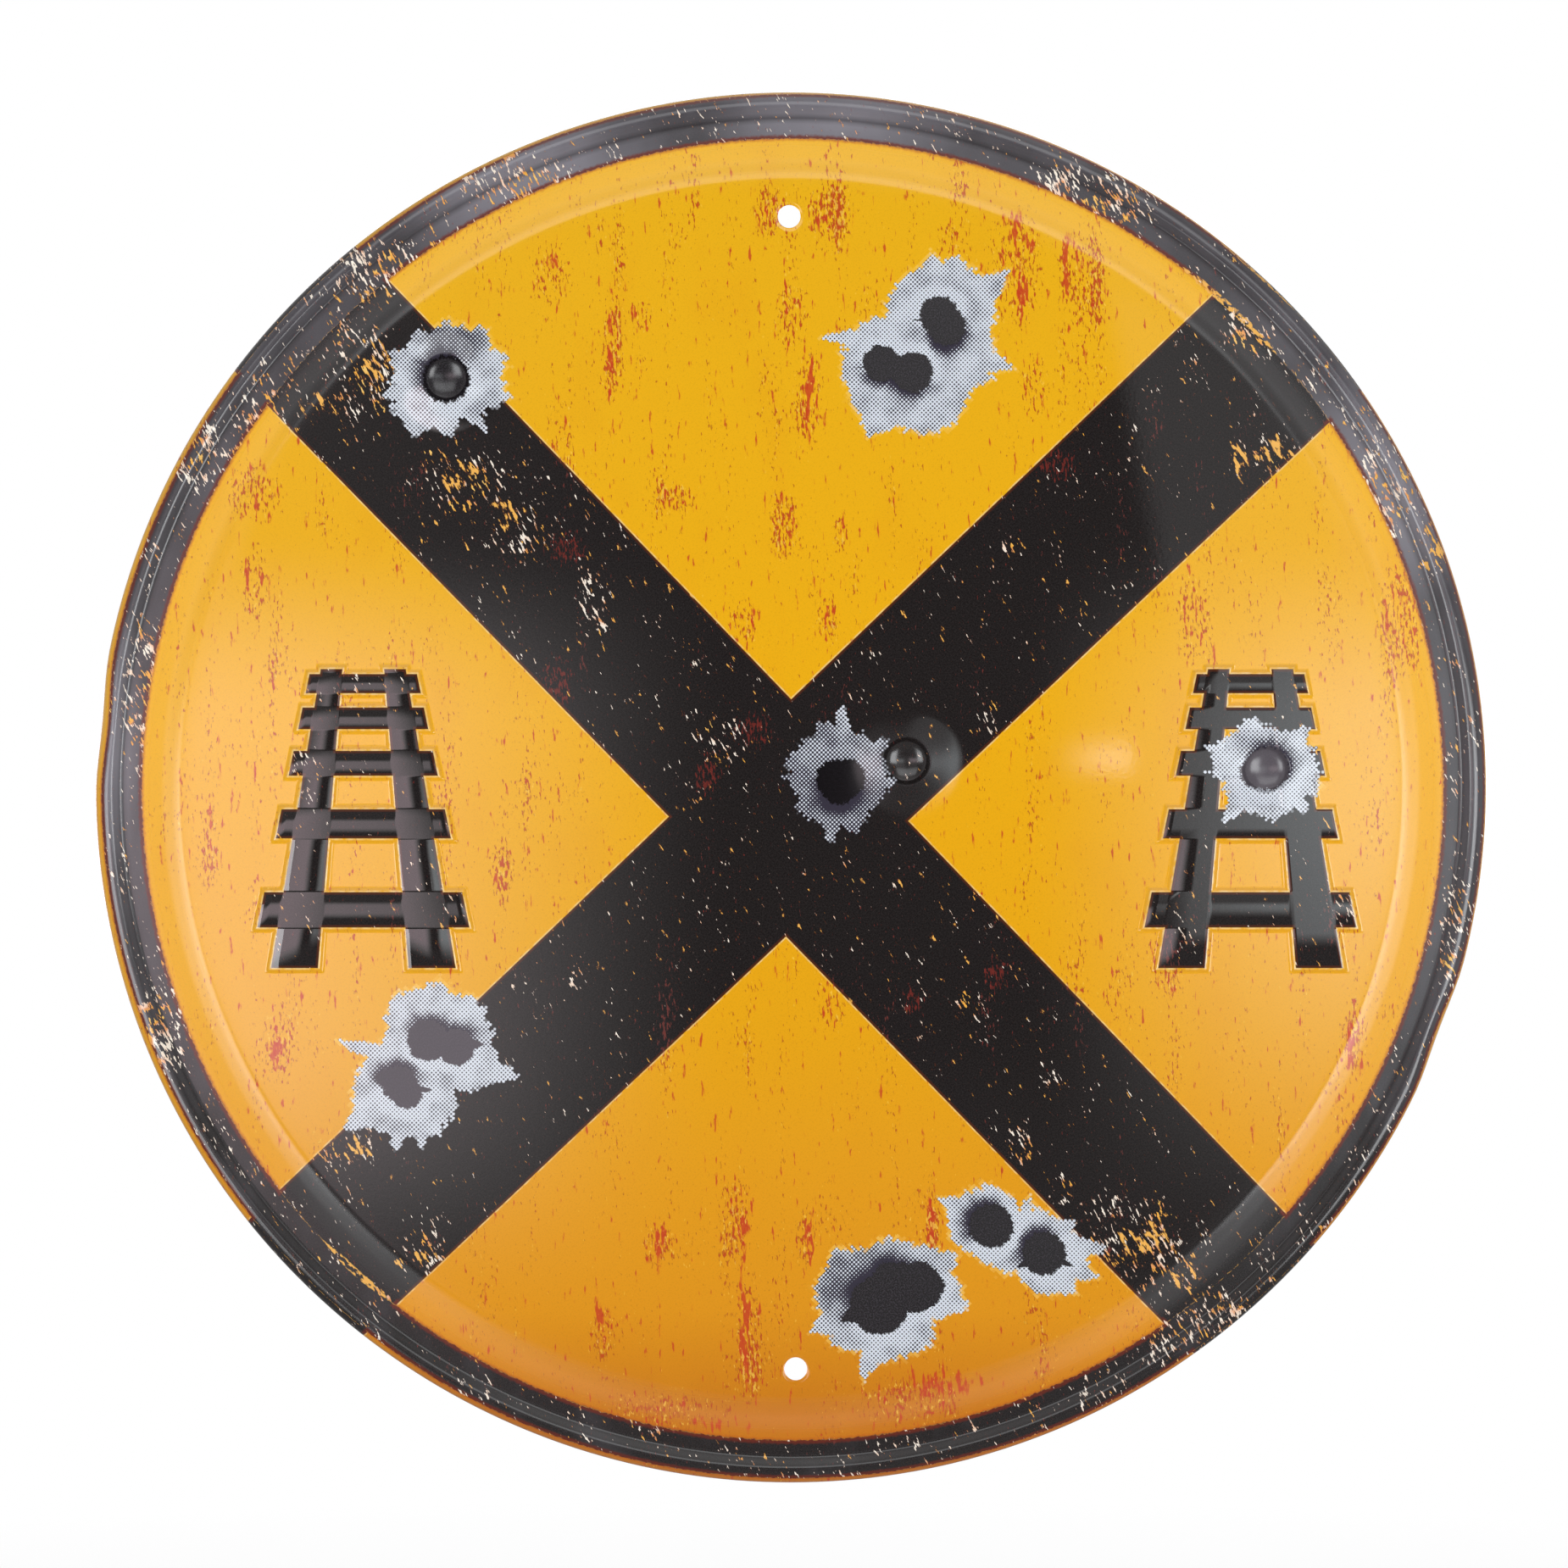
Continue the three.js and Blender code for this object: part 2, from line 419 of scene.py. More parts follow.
class Wire:
    """An output socket that can be used in Python sums."""

    def __init__(self, tree, socket):
        self.tree = tree
        self.socket = socket

    def node(self, kind, settings=None, sockets=None, output=0):
        """Adds a node to this wire's tree and gives back the wire that leaves it."""
        return add_node(self.tree, kind, settings, sockets, output)

    def math(self, operation, *others, clamp=False):
        """A Math node whose first value is this wire."""
        names = ("Value", "Value_001", "Value_002")
        settings = {"operation": operation, "use_clamp": clamp}
        return self.node("ShaderNodeMath", settings, dict(zip(names, (self, *others))))

    def vector(self, operation, *others, output=0):
        """A Vector Math node whose first vector is this wire."""
        names = ("Vector", "Vector_001", "Vector_002")
        sockets = dict(zip(names, (self, *others)))
        return self.node("ShaderNodeVectorMath", {"operation": operation}, sockets, output)

    def parts(self):
        """The three parts of a vector, each as a wire."""
        x = self.node("ShaderNodeSeparateXYZ", None, {"Vector": self})
        return [Wire(self.tree, output) for output in x.socket.node.outputs]

    def __add__(self, other):
        return self.math("ADD", other)

    __radd__ = __add__

    def __sub__(self, other):
        return self.math("SUBTRACT", other)

    def __rsub__(self, other):
        return self.node("ShaderNodeMath", {"operation": "SUBTRACT"}, {"Value": other, "Value_001": self})

    def __mul__(self, other):
        return self.math("MULTIPLY", other)

    __rmul__ = __mul__

    def __truediv__(self, other):
        return self.math("DIVIDE", other)

    def __abs__(self):
        return self.math("ABSOLUTE")

    def least(self, other):
        """The smaller of two values."""
        return self.math("MINIMUM", other)

    def most(self, other):
        """The larger of two values."""
        return self.math("MAXIMUM", other)

    def clamped(self):
        """This value, kept between 0 and 1."""
        return self.math("ADD", 0, clamp=True)


print("a wire can be used in sums")

# %% Nodes and their sockets


def find_socket(sockets, name):
    """The socket with this identifier, or else the one in use with this name."""
    for socket in sockets:
        if socket.identifier == name:
            return socket
    return next(socket for socket in sockets if socket.name == name and socket.enabled)


def plug(tree, node, sockets):
    """Fills a node's sockets by name: a wire is linked, and any other value is set on the socket."""
    for name, value in sockets.items():
        socket = find_socket(node.inputs, name)
        if isinstance(value, Wire):
            tree.links.new(value.socket, socket)
        else:
            socket.default_value = value


def add_node(tree, kind, settings=None, sockets=None, output=0):
    """Adds a node of any type. A ramp's stops are pairs of a place and a grey value or a colour."""
    node = tree.nodes.new(kind)
    for name, value in (settings or {}).items():
        if name != "stops":
            setattr(node, name, value)
            continue
        elements = node.color_ramp.elements
        while len(elements) < len(value):
            elements.new(1)
        for element, (position, colour) in zip(elements, value):
            element.position = position
            element.color = colour if hasattr(colour, "__len__") else (colour, colour, colour, 1)
    plug(tree, node, sockets or {})
    if isinstance(output, str):
        return Wire(tree, find_socket(node.outputs, output))
    return Wire(tree, node.outputs[output])


def soft_edge(value, start, end):
    """0 before one limit and 1 past the other, with a smooth rise between them."""
    settings = {"interpolation_type": "SMOOTHSTEP"}
    sockets = {"Value": value, "From Min": start, "From Max": end}
    return add_node(value.tree, "ShaderNodeMapRange", settings, sockets)


print("any node can be added with its settings and its sockets")

# %% [markdown]
# ## How far a place is from the track picture
#
# The raised picture on each side is a railway track that runs away from the viewer. One formula gives how
# far a place lies outside its bars, and it serves twice: the press raises what is inside, and the printer
# inks it. Both pictures are the same, so the left half of the sign is folded over onto the right before
# measuring.

# %% The track formula
track_fold = (left_track.x + right_track.x) / 2
track_offset = (right_track.x - left_track.x) / 2


def outside_track(x, z):
    """How far a place of the sign is outside the nearest rail or tie; negative on a bar."""
    across = abs(abs(x - track_fold) - track_offset)
    up = z - left_track.y + track_height / 2
    narrow = 1 - up * ((1 - far_end_share) / track_height)
    beyond_ends = abs(up - track_height / 2) - track_height / 2
    rails = abs(across - narrow * (track_gauge / 2)) - narrow * (rail_width / 2)
    rails = rails.most(beyond_ends)
    tie_edges = []
    for i in range(tie_count):
        level = tie_share(i) * track_height
        half_tie = tie_height * shrink(tie_share(i)) / 2
        tie_edges.append(abs(up - level) - half_tie)
    ties = reduce(Wire.least, tie_edges).most(across - narrow * (track_width / 2))
    return rails.least(ties)


print(f"the two tracks are {2 * track_offset / mm:.0f} mm apart")

# %% [markdown]
# ## The press
#
# A Geometry Nodes tree presses the blank. It first stores where each point lies on the flat blank, because
# the print was made there and has to stay there. Then it lays the blank over the die line: a point that was
# so far from the middle goes that far along the line. The tracks, the mounds and the dimples of the shot
# marks are added by formula, and two thumb-wide dents push the rim in where the photograph shows it kinked.
# Sculpting these by hand would be quicker to start and much harder to change.

# %% Inputs of the press
press = bpy.data.node_groups.new("press_the_blank", "GeometryNodeTree")
press.interface.new_socket(name="Geometry", in_out="OUTPUT", socket_type="NodeSocketGeometry")
press_inputs = {}


def placed(name, data):
    """An object with this data, which is added to the scene."""
    item = bpy.data.objects.new(name, data)
    bpy.context.scene.collection.objects.link(item)
    return item


def press_input(name, kind, value):
    """Adds a named input to the press and keeps its value for the modifier."""
    socket = press.interface.new_socket(name=name, in_out="INPUT", socket_type="NodeSocket" + kind)
    press_inputs[socket.identifier] = value


press.interface.new_socket(name="Blank", in_out="INPUT", socket_type="NodeSocketGeometry")
die_curve = bpy.data.curves.new("die_line", "CURVE")
die_spline = die_curve.splines.new("POLY")
die_spline.points.add(len(die_line) - 1)
for point, place in zip(die_spline.points, die_line):
    point.co = (place.x, place.y, 0, 1)
die_object = placed("die_line", die_curve)

printed_tin = bpy.data.materials.new("lacquered_print")
bare_tin = bpy.data.materials.new("bare_tin")
press_input("Die line", "Object", die_object)
press_input("Printed tin", "Material", printed_tin)
for name, value in {
    "Emboss height": 0.6 * mm,
    "Emboss shoulder": emboss_shoulder,
    "Mound radius": mound_radius,
    "Mound height": 0.75 * mm,
    "Dimple radius": dimple_radius,
    "Dimple depth": 1.9 * mm,
    "Dimple lip": dimple_lip,
    "Lip softness": 0.25 * mm,
    "Hole edge draw": 0.12 * mm,
    "Dent width": 32 * mm,
    "Dent inset": 0.42 * mm,
    "Dent shoulder inset": 1.1 * mm,
}.items():
    press_input(name, "Float", value)
dent_angles = [math.radians(174.7), math.radians(-20.5)]
entry = press.nodes.new("NodeGroupInput")
print(len(press_inputs), "inputs of the press, and", len(dent_angles), "dents")

# %% Forms of the panel


def given(name):
    """The wire of one of the press's named inputs."""
    return Wire(press, entry.outputs[name])


def node_swell(share):
    """The same soft rise as on the die line, for a wire."""
    return 0.5 - (share * math.pi).math("COSINE") * 0.5


def distance_from(spot, x, z):
    """How far a place of the sign is from a spot."""
    across = x - spot.x
    up = z - spot.y
    return (across * across + up * up).math("SQRT")


def level_of_forms(x, z):
    """How far the tracks, the mounds and the dimples stand out of the panel."""
    lean = (outside_track(x, z) / given("Emboss shoulder")).clamped()
    level = (1 - node_swell(lean)) * given("Emboss height")
    bowls = []
    for mark in pressed_marks:
        away = distance_from(mark, x, z)
        fall = (away / given("Mound radius")).clamped()
        level = level.most((1 - node_swell(fall)) * given("Mound height"))
        depth_share = away / given("Dimple radius")
        bowl = (1 - depth_share * depth_share).most(0).math("SQRT") * (0 - given("Dimple depth"))
        lip_slope = (given("Mound height") + wall_overshoot) / given("Dimple lip")
        bowls.append(bowl.most((away - given("Dimple radius")) * lip_slope))
    for bowl in bowls:
        level = level.math("SMOOTH_MIN", bowl, given("Lip softness"))
    for hole in nail_hole_places:
        draw = (1 - (distance_from(hole, x, z) - nail_hole_radius) / hole_draw_width).clamped()
        level = level - draw * draw * given("Hole edge draw")
    return level


print("the forms are ready to be pressed")

# %% Dents in the rim


def dented(radius, height, direction):
    """How much of its radius a point keeps where the rim is dented."""
    outward = soft_edge(radius, bead_foot_radius, sign_radius - half_sheet)
    upward = soft_edge(height, curl_radius, sign_depth)
    inset = given("Dent inset") + (given("Dent shoulder inset") - given("Dent inset")) * upward
    half_angle = given("Dent width") / (2 * sign_radius)
    kept_shares = []
    for angle in dent_angles:
        towards = (math.cos(angle), math.sin(angle), 0)
        away = direction.vector("DOT_PRODUCT", towards, output="Value").least(1).math("ARCCOSINE")
        share = 1 - node_swell((away / half_angle).least(1))
        kept_shares.append(1 - share * outward * inset / radius.most(panel_radius))
    return reduce(Wire.__mul__, kept_shares)


print("the dents are ready to be pressed")

# %% Wire the press


def build_press():
    """Wires the press: store the print's place, follow the die line, add the forms, dent the rim."""
    position = add_node(press, "GeometryNodeInputPosition")
    stored = add_node(
        press,
        "GeometryNodeStoreNamedAttribute",
        {"data_type": "FLOAT_VECTOR", "domain": "POINT"},
        {"Geometry": given("Blank"), "Name": "blank_place", "Value": position},
    )
    x, z, _ = position.parts()
    flat = position.vector("LENGTH", output="Value")
    direction = position.vector("NORMALIZE")
    as_drawn = {"transform_space": "ORIGINAL"}
    die = add_node(press, "GeometryNodeObjectInfo", as_drawn, {"Object": given("Die line")}, "Geometry")
    along = {"Curves": die, "Length": flat}
    on_die = add_node(press, "GeometryNodeSampleCurve", {"mode": "LENGTH"}, along, "Position")
    radius, height, _ = on_die.parts()
    height = height + level_of_forms(x, z)
    turn_x, turn_z, _ = direction.parts()
    kept_radius = radius * dented(radius, height, direction)
    places = {"X": turn_x * kept_radius, "Y": sign_depth / 2 - height, "Z": turn_z * kept_radius}
    pressed = add_node(press, "ShaderNodeCombineXYZ", None, places)
    moved = add_node(press, "GeometryNodeSetPosition", None, {"Geometry": stored, "Position": pressed})
    real = add_node(press, "GeometryNodeRealizeInstances", None, {"Geometry": moved})
    tin = {"Geometry": real, "Material": given("Printed tin")}
    coated = add_node(press, "GeometryNodeSetMaterial", None, tin)
    plug(press, press.nodes.new("NodeGroupOutput"), {"Geometry": coated})


build_press()
print(len(press.nodes), "nodes in the press")

# %% [markdown]
# ## Pressing
#
# The press is set on the blank as a modifier, and Solidify gives the sheet its thickness, half to each side
# of the die line. Its back and its cut edges take the second material, bare tin. The result is turned into
# a plain mesh, which stands for the sheet of the construction model.

# %% Press the sheet
sharpest_smooth_angle = math.radians(40)
sheet = placed("pressed_sheet", blank_mesh)
sheet.data.materials.append(printed_tin)
sheet.data.materials.append(bare_tin)
pressing = sheet.modifiers.new("press", "NODES")
pressing.node_group = press
for identifier, value in press_inputs.items():
    pressing[identifier] = value
thickness = sheet.modifiers.new("sheet thickness", "SOLIDIFY")
thickness.thickness = sheet_thickness
thickness.offset = 0
thickness.use_even_offset = True
thickness.material_offset = 1
thickness.material_offset_rim = 1

depsgraph = bpy.context.evaluated_depsgraph_get()
pressed_mesh = bpy.data.meshes.new_from_object(sheet.evaluated_get(depsgraph))
sheet.modifiers.clear()
sheet.data = pressed_mesh
pressed_mesh.name = "pressed_sheet"
pressed_mesh.set_sharp_from_angle(angle=sharpest_smooth_angle)
bpy.data.objects.remove(die_object)

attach(sheet, "root")
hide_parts("sign_sheet")
pressed_mesh.calc_loop_triangles()
print(len(pressed_mesh.loop_triangles), "triangles;", [m.name for m in pressed_mesh.materials])

# %% [markdown]
# ## The print
#
# The sign was printed flat in a few inks under a clear lacquer: a yellow ground, a black cross and border,
# and pictures of wear and of shot marks. A painted image would fix its sharpness, so the print is worked
# out by formula instead: for each ink there is a distance to its edge, and the ink is where that is
# negative. The place on the blank is read back from the attribute that the press stored, so the print bends
# with the metal.

# %% Inks and masks
printed_tin.use_nodes = True
print_tree = printed_tin.node_tree
lacquer = print_tree.nodes["Principled BSDF"]
place = add_node(print_tree, "ShaderNodeAttribute", {"attribute_name": "blank_place"}, None, "Vector")
print_x, print_z, _ = place.parts()


def ink(red, green, blue):
    """A colour from 0 to 255, as a screen shows it, in the linear values that Blender mixes."""
    linear = []
    for value in (red / 255, green / 255, blue / 255):
        linear.append(value / 12.92 if value <= 0.04045 else ((value + 0.055) / 1.055) ** 2.4)
    return (*linear, 1)


def inside(distance, softness):
    """1 where a distance is negative and 0 where it is positive, with an edge this soft."""
    return distance.math("MULTIPLY_ADD", -1 / softness, 0.5, clamp=True)


def above(value, limit, slope):
    """0 up to a limit, then rising to 1 with this slope."""
    return value.math("MULTIPLY_ADD", slope, -limit * slope, clamp=True)


def over(under, colour, mask):
    """Lays a colour over another where the mask is 1."""
    settings = {"data_type": "RGBA", "clamp_factor": True}
    sockets = {"Factor_Float": mask, "A_Color": under, "B_Color": colour}
    return add_node(mask.tree, "ShaderNodeMix", settings, sockets, "Result_Color")


print("inks are ready")

# %% Noise and ramps
grain_size = (0.35 * mm, 0.35 * mm)


def noise(where, detail=2, roughness=0.5):
    """Smooth random values from 0 to 1 that change over about one unit."""
    sockets = {"Vector": where, "Scale": 1, "Detail": detail, "Roughness": roughness}
    return add_node(where.tree, "ShaderNodeTexNoise", {"noise_dimensions": "2D"}, sockets, "Fac")


def pattern(size, lean=0, shift=0, detail=2, roughness=0.5):
    """Noise on the print, in spots of this width and length that lean by this many degrees.

    Another shift gives another part of the noise, so that two patterns don't lie on each other.
    """
    sockets = {
        "Vector": place,
        "Location": (shift, shift, 0),
        "Rotation": (0, 0, math.radians(lean)),
        "Scale": (*size, 1),
    }
    spot = add_node(print_tree, "ShaderNodeMapping", {"vector_type": "TEXTURE"}, sockets)
    return noise(spot, detail, roughness)


def ramp(value, stops):
    """Looks a value up in a list of positions and colours, or positions and grey values."""
    return add_node(value.tree, "ShaderNodeValToRGB", {"stops": stops}, {"Fac": value}, "Color")


grain = pattern(grain_size, lean=45, detail=1) - 0.5
print(f"the print's grain is {grain_size[0] / mm:.2f} mm wide")

# %% Groups and ovals


def grouped(name, where, body):
    """Builds a large formula in a node group of its own, which Blender updates faster than one huge tree.

    The body gets the place as a wire in the group and gives back a list of results.
    """
    group = bpy.data.node_groups.new(name, "ShaderNodeTree")
    group.interface.new_socket(name="Place", in_out="INPUT", socket_type="NodeSocketVector")
    results = body(Wire(group, group.nodes.new("NodeGroupInput").outputs["Place"]))
    ending = group.nodes.new("NodeGroupOutput")
    for i, result in enumerate(results):
        group.interface.new_socket(name=f"Result {i}", in_out="OUTPUT", socket_type="NodeSocketFloat")
        group.links.new(result.socket, ending.inputs[i])
    node = where.tree.nodes.new("ShaderNodeGroup")
    node.node_tree = group
    plug(where.tree, node, {"Place": where})
    print(name, "takes", len(group.nodes), "nodes")
    return [Wire(where.tree, node.outputs[i]) for i in range(len(results))]


def ovals(name, table):
    """1 in the middle of each oval of a table in millimetres, and 0 from its edge outwards."""

    def body(where):
        levels = []
        for x, z, half_width, half_height in table:
            scale = (1 / (half_width * mm), 1 / (half_height * mm), 0)
            offset = (-x / half_width, -z / half_height, 0)
            levels.append(1 - where.vector("MULTIPLY_ADD", scale, offset).vector("LENGTH", output="Value"))
        return [reduce(Wire.most, levels).most(0)]

    return grouped(name, place, body)[0]


print("ovals can be drawn from a table")

# %% [markdown]
# ## The yellow ground
#
# The ground is a warm yellow that turns darker and more orange towards the foot of the sign. That fall is
# partly a print tint and partly painted shade, as if the light came from above. The artist printed specks
# of rust on it, as short upright dashes that gather in columns where water would have run. Noise stretched
# upwards gives the dashes, and they show where the noise passes a threshold. A chance is added to the noise
# in the worn places, so that more dashes show there. These places are ovals, each given by its middle, its
# half width and its half height in millimetres.

# %% Yellow
ground_height = 280 * mm
cloud_size = (16 * mm, 30 * mm)
# Darker and more orange towards the foot: partly a print tint, partly painted shade as if lit from above.
yellow = ramp(
    print_z / ground_height + 0.5,
    [
        (0.02, ink(203, 120, 22)),
        (0.10, ink(226, 149, 25)),
        (0.18, ink(229, 155, 24)),
        (0.32, ink(234, 166, 22)),
        (0.55, ink(239, 174, 20)),
        (0.97, ink(236, 177, 26)),
    ],
)
cloud = pattern(cloud_size, detail=3)
yellow = over(yellow, ink(226, 150, 22), above(cloud, 0.54, 0.8))
print("the ground turns from yellow to orange")

# %% Printed rust
rusty_places = [
    (-4.5, 123, 5, 8), (8, 122, 6, 9), (0, 101, 5, 9), (4, 84, 4, 15), (-38.5, 95, 3, 14),
    (-32, 101, 4, 5), (49, 112, 7, 16), (34, 117, 3, 6), (63, 110, 7, 14), (-1, 56, 4, 9),
    (10.5, 55, 2.5, 6), (-51, 110, 5, 8), (-24, 62, 6, 4), (8, 36, 3, 7), (-10, 35, 4, 7), (52, 86, 4, 9),
    (-115, 43, 4, 12), (-124.5, -12, 3, 13), (-115, 63, 8, 8), (-110, -56, 5, 11), (-62, -18, 4, 8),
    (121, -54, 4, 10), (117, -28, 4, 10), (130, 36, 6, 16), (86, 36, 4, 13), (80, -37, 5, 10),
    (-40, -117, 5, 7), (-29, -98, 4, 6), (-11, -92, 3, 14), (-9, -118, 4, 20), (3, -97, 3, 8),
    (24, -132, 15, 7), (-26, -134, 16, 6), (30.5, -94, 2, 8), (9, -46, 4, 10),
]
red_streaks = [
    (48, 121, 1.8, 6), (49.3, 107, 1.8, 9), (3.8, 84, 1.8, 12), (-38.8, 95, 1.2, 12), (30, -92, 1.4, 8),
    (-10, -115, 1.6, 16), (-41, -112, 2, 5), (-110, -55, 1.5, 8), (119.5, -56, 1.8, 7), (33, -127, 12, 4),
    (-10, -92, 1.2, 12), (4, -98, 1.2, 9), (59, 112, 1.4, 9), (-28, -98, 1.2, 7),
]
patch_size = (9 * mm, 24 * mm)
column_size = (4 * mm, 60 * mm)
dash_size = (0.56 * mm, 1.7 * mm)
pale_dash_size = (0.7 * mm, 1.7 * mm)
smear_size = (1.2 * mm, 6 * mm)

rusty = ovals("rusty places", rusty_places)
rust_patch = pattern(patch_size, shift=0.3, detail=3)
rust_column = pattern(column_size, shift=0.7, detail=1)
rust_chance = rusty.least(0.5) * 0.38 + above(rust_patch, 0.5, 0.6) + above(rust_column, 0.52, 0.5)
dash_noise = pattern(dash_size, lean=4, shift=0.1, roughness=0.6)
dash = dash_noise + rust_chance
yellow = over(yellow, ink(186, 112, 24), above(dash, 0.735, 15) * 0.85)
yellow = over(yellow, ink(194, 70, 32), above(dash, 0.79, 15) * 0.9)
streak = ovals("red streaks", red_streaks).least(0.6) * 0.36
smear = pattern(smear_size, lean=2, shift=0.9) + rusty.least(0.6) * 0.16 + dash_noise * 0.3
smear = smear - 0.15 + streak
yellow = over(yellow, ink(200, 66, 34), above(smear, 0.70, 10) * 0.9)
pale_dash = pattern(pale_dash_size, lean=4, shift=0.55, roughness=0.6) + rust_chance * 0.7
yellow = over(yellow, ink(250, 205, 80), above(pale_dash, 0.77, 10) * 0.6)
yellow = over(yellow, ink(120, 74, 16), above(grain, 0, 0.35))
print(len(rusty_places), "rusty places and", len(red_streaks), "red streaks")

# %% [markdown]
# ## The black cross and border
#
# Two straight bars cross a little below the middle and run out into a black ring. Their edges were measured
# as straight lines: a direction square to the edge, and how far the edge lies along it. The ring lies
# between two circles that were printed slightly off centre. Drawing this as an image would be quicker, but
# a distance stays sharp at any size, and one distance serves for the black itself and for every line along
# its edge.

# %% Where the black ends
bar_edges = {
    "down to the right": ((0.7154, 0.6987, -23.10), (0.7208, 0.6932, 13.09)),
    "up to the right": ((-0.6871, 0.7266, -22.49), (-0.6923, 0.7216, 13.57)),
}
ring_inner_radius = 139.5 * mm
ring_outer_radius = 148.2 * mm
ring_inner_centre = (0.36 * mm, -0.46 * mm, 0)
ring_outer_centre = (0.67 * mm, 0.27 * mm, 0)
ragged_size = (0.9 * mm, 0.9 * mm)
ragged_reach = 0.6 * mm


def outside_bar(low_edge, high_edge):
    """How far a place is outside a bar, from the lines of its two edges."""
    low = low_edge[2] * mm - place.vector("DOT_PRODUCT", (*low_edge[:2], 0), output="Value")
    high = place.vector("DOT_PRODUCT", (*high_edge[:2], 0), output="Value") - high_edge[2] * mm
    return low.most(high)


def outside_ring():
    """How far a place is outside the border, whose edges are slightly ragged."""
    ragged = (pattern(ragged_size, shift=0.4, detail=3) - 0.5) * ragged_reach
    from_inner = place.vector("SUBTRACT", ring_inner_centre).vector("LENGTH", output="Value")
    from_outer = place.vector("SUBTRACT", ring_outer_centre).vector("LENGTH", output="Value")
    inner = flat_radius(ring_inner_radius) - from_inner + ragged
    return inner.most(from_outer - flat_radius(ring_outer_radius) + ragged * 0.5)


ring = outside_ring()
bars = outside_bar(*bar_edges["down to the right"]).least(outside_bar(*bar_edges["up to the right"]))
tracks = grouped("track picture", place, lambda where: [outside_track(*where.parts()[:2])])[0]
straight_edges = bars.least(tracks)
black_edge = straight_edges.least(ring)
print("the cross, the border and the tracks are drawn")

# %% [markdown]
# ## Lines along the black, its scuffs and its painted sheen
#
# The inks overlap by a hair, which shows as a thin cream line outside each straight edge and as brown just
# inside it. The border's black is grey on the upper half and in a few places. That grey is partly faded,
# scuffed ink and partly painted sheen: a lighter top, as if lit from above, and painted reflections of the
# lamps on the bead. It is held off the groove at the foot of the bead, which is left dark as painted shade.

# %% Black over yellow
shaded_groove_radius = 143.5 * mm
wear_size = (2 * mm, 2 * mm)
# Places where the border turns grey: scuffed ink and painted sheen of the lamps on the bead.
scuff_and_sheen_places = [(126, 66, 26, 30), (-56, 130, 34, 22), (10, 143, 30, 12), (-146, 12, 8, 30)]

edge_wear = pattern(wear_size, shift=0.2)
cream_line = inside(straight_edges - 0.3 * mm, 0.15 * mm) * above(edge_wear, 0.3, 3)
sign_colour = over(yellow, ink(243, 208, 140), cream_line * 0.8)
sign_colour = over(sign_colour, ink(190, 96, 24), inside(ring - 0.35 * mm, 0.5 * mm) * 0.7)
black = over(ink(27, 23, 23), ink(53, 48, 47), above(grain, -0.25, 0.9))
scuffed_and_sheen = ovals("scuffed rim", scuff_and_sheen_places)
# Grey over the upper half is painted light from above; in the listed places it is scuffs and painted sheen.
scuffs_and_sheen = above(print_z, -0.1, 12) * 0.28 + scuffed_and_sheen * 0.9 + (cloud - 0.5) * 0.5
from_centre = place.vector("LENGTH", output="Value")
# The grey is held off the groove at the foot of the bead, which leaves painted shade there.
shaded_groove = inside(abs(from_centre - flat_radius(shaded_groove_radius)) - 0.5 * mm, 1.6 * mm)
scuffs_and_sheen = scuffs_and_sheen * (1 - shaded_groove * 0.7) * inside(ring, 0.2 * mm)
black = over(black, ink(124, 120, 127), scuffs_and_sheen)
brown_line = inside(abs(black_edge + 0.25 * mm) - 0.25 * mm, 0.3 * mm)
black = over(black, ink(84, 40, 22), brown_line * 0.8)
near_ring_edge = inside(abs(ring) - 1.2 * mm, 0.5 * mm)
red_line = inside(abs(black_edge + 0.4 * mm) - 0.4 * mm, 0.5 * mm) * near_ring_edge
black = over(black, ink(104, 36, 22), red_line * 0.8)
black = over(black, ink(128, 62, 56), above(dash, 0.80, 9) * 0.6)
print("the black is scuffed in", len(scuff_and_sheen_places), "places")

# %% [markdown]
# ## Printed wear on the black
#
# Where the black looks chipped, slanted flecks of cream, tan and orange show through, with dark red round
# the larger ones. They lean alike, as if scraped, so the noise is stretched along one slanting direction.
# Two sizes of noise are laid over each other: fine flecks in all the chipped places, and larger chips in a
# few.

# %% Chipped places
chipped_places = [
    (-93, 88, 9, 17), (-70, 66, 16, 10), (-58, 54, 12, 8), (-112, 78, 12, 16), (104, 70, 7, 8),
    (96, 71, 3, 8), (97, 96, 8, 6), (-94, -77, 8, 8), (-79, -100, 8, 7), (72, -98, 19, 15),
    (84, -104, 6, 6), (93, -112, 8, 7), (-42, 40, 6, 14), (-52, 8, 5, 5), (62, 38, 3, 3), (47, 51, 3, 4),
    (-45, -40, 4, 5), (38, -46, 5, 6), (56, -64, 5, 4), (49, -77, 4, 6), (58, -86, 5, 6), (128, 68, 9, 20),
    (-139, 20, 6, 24), (-134, -50, 8, 18), (142, -30, 4, 14), (-90, 112, 14, 9), (-60, 130, 18, 7),
    (66, 128, 18, 8), (88, -118, 16, 9), (-128, 72, 7, 12), (-14, 10, 9, 8), (-72, -22, 4, 12),
    (-104, 4, 6, 8), (118, -22, 6, 10),
]
large_chips = [
    (104, 70, 7, 7), (96, 71, 2.5, 7), (76, -97, 9, 6), (85, -105, 6, 6), (-71, 67, 8, 5), (-61, 59, 5, 5),
    (-88, 91, 7, 9), (-101, 82, 6, 4), (-93, -77, 6, 4), (-80, -101, 6, 3), (-92, 106, 8, 4),
    (138, 52, 4, 12),
]
red_places = [
    (-18, 2.5, 4, 6), (-8, 12.5, 5, 5), (-48, 51, 6, 5), (-50, 22, 5, 8), (57, 69, 6, 5), (44, -40, 4, 5),
    (26, -46, 3, 5),
]
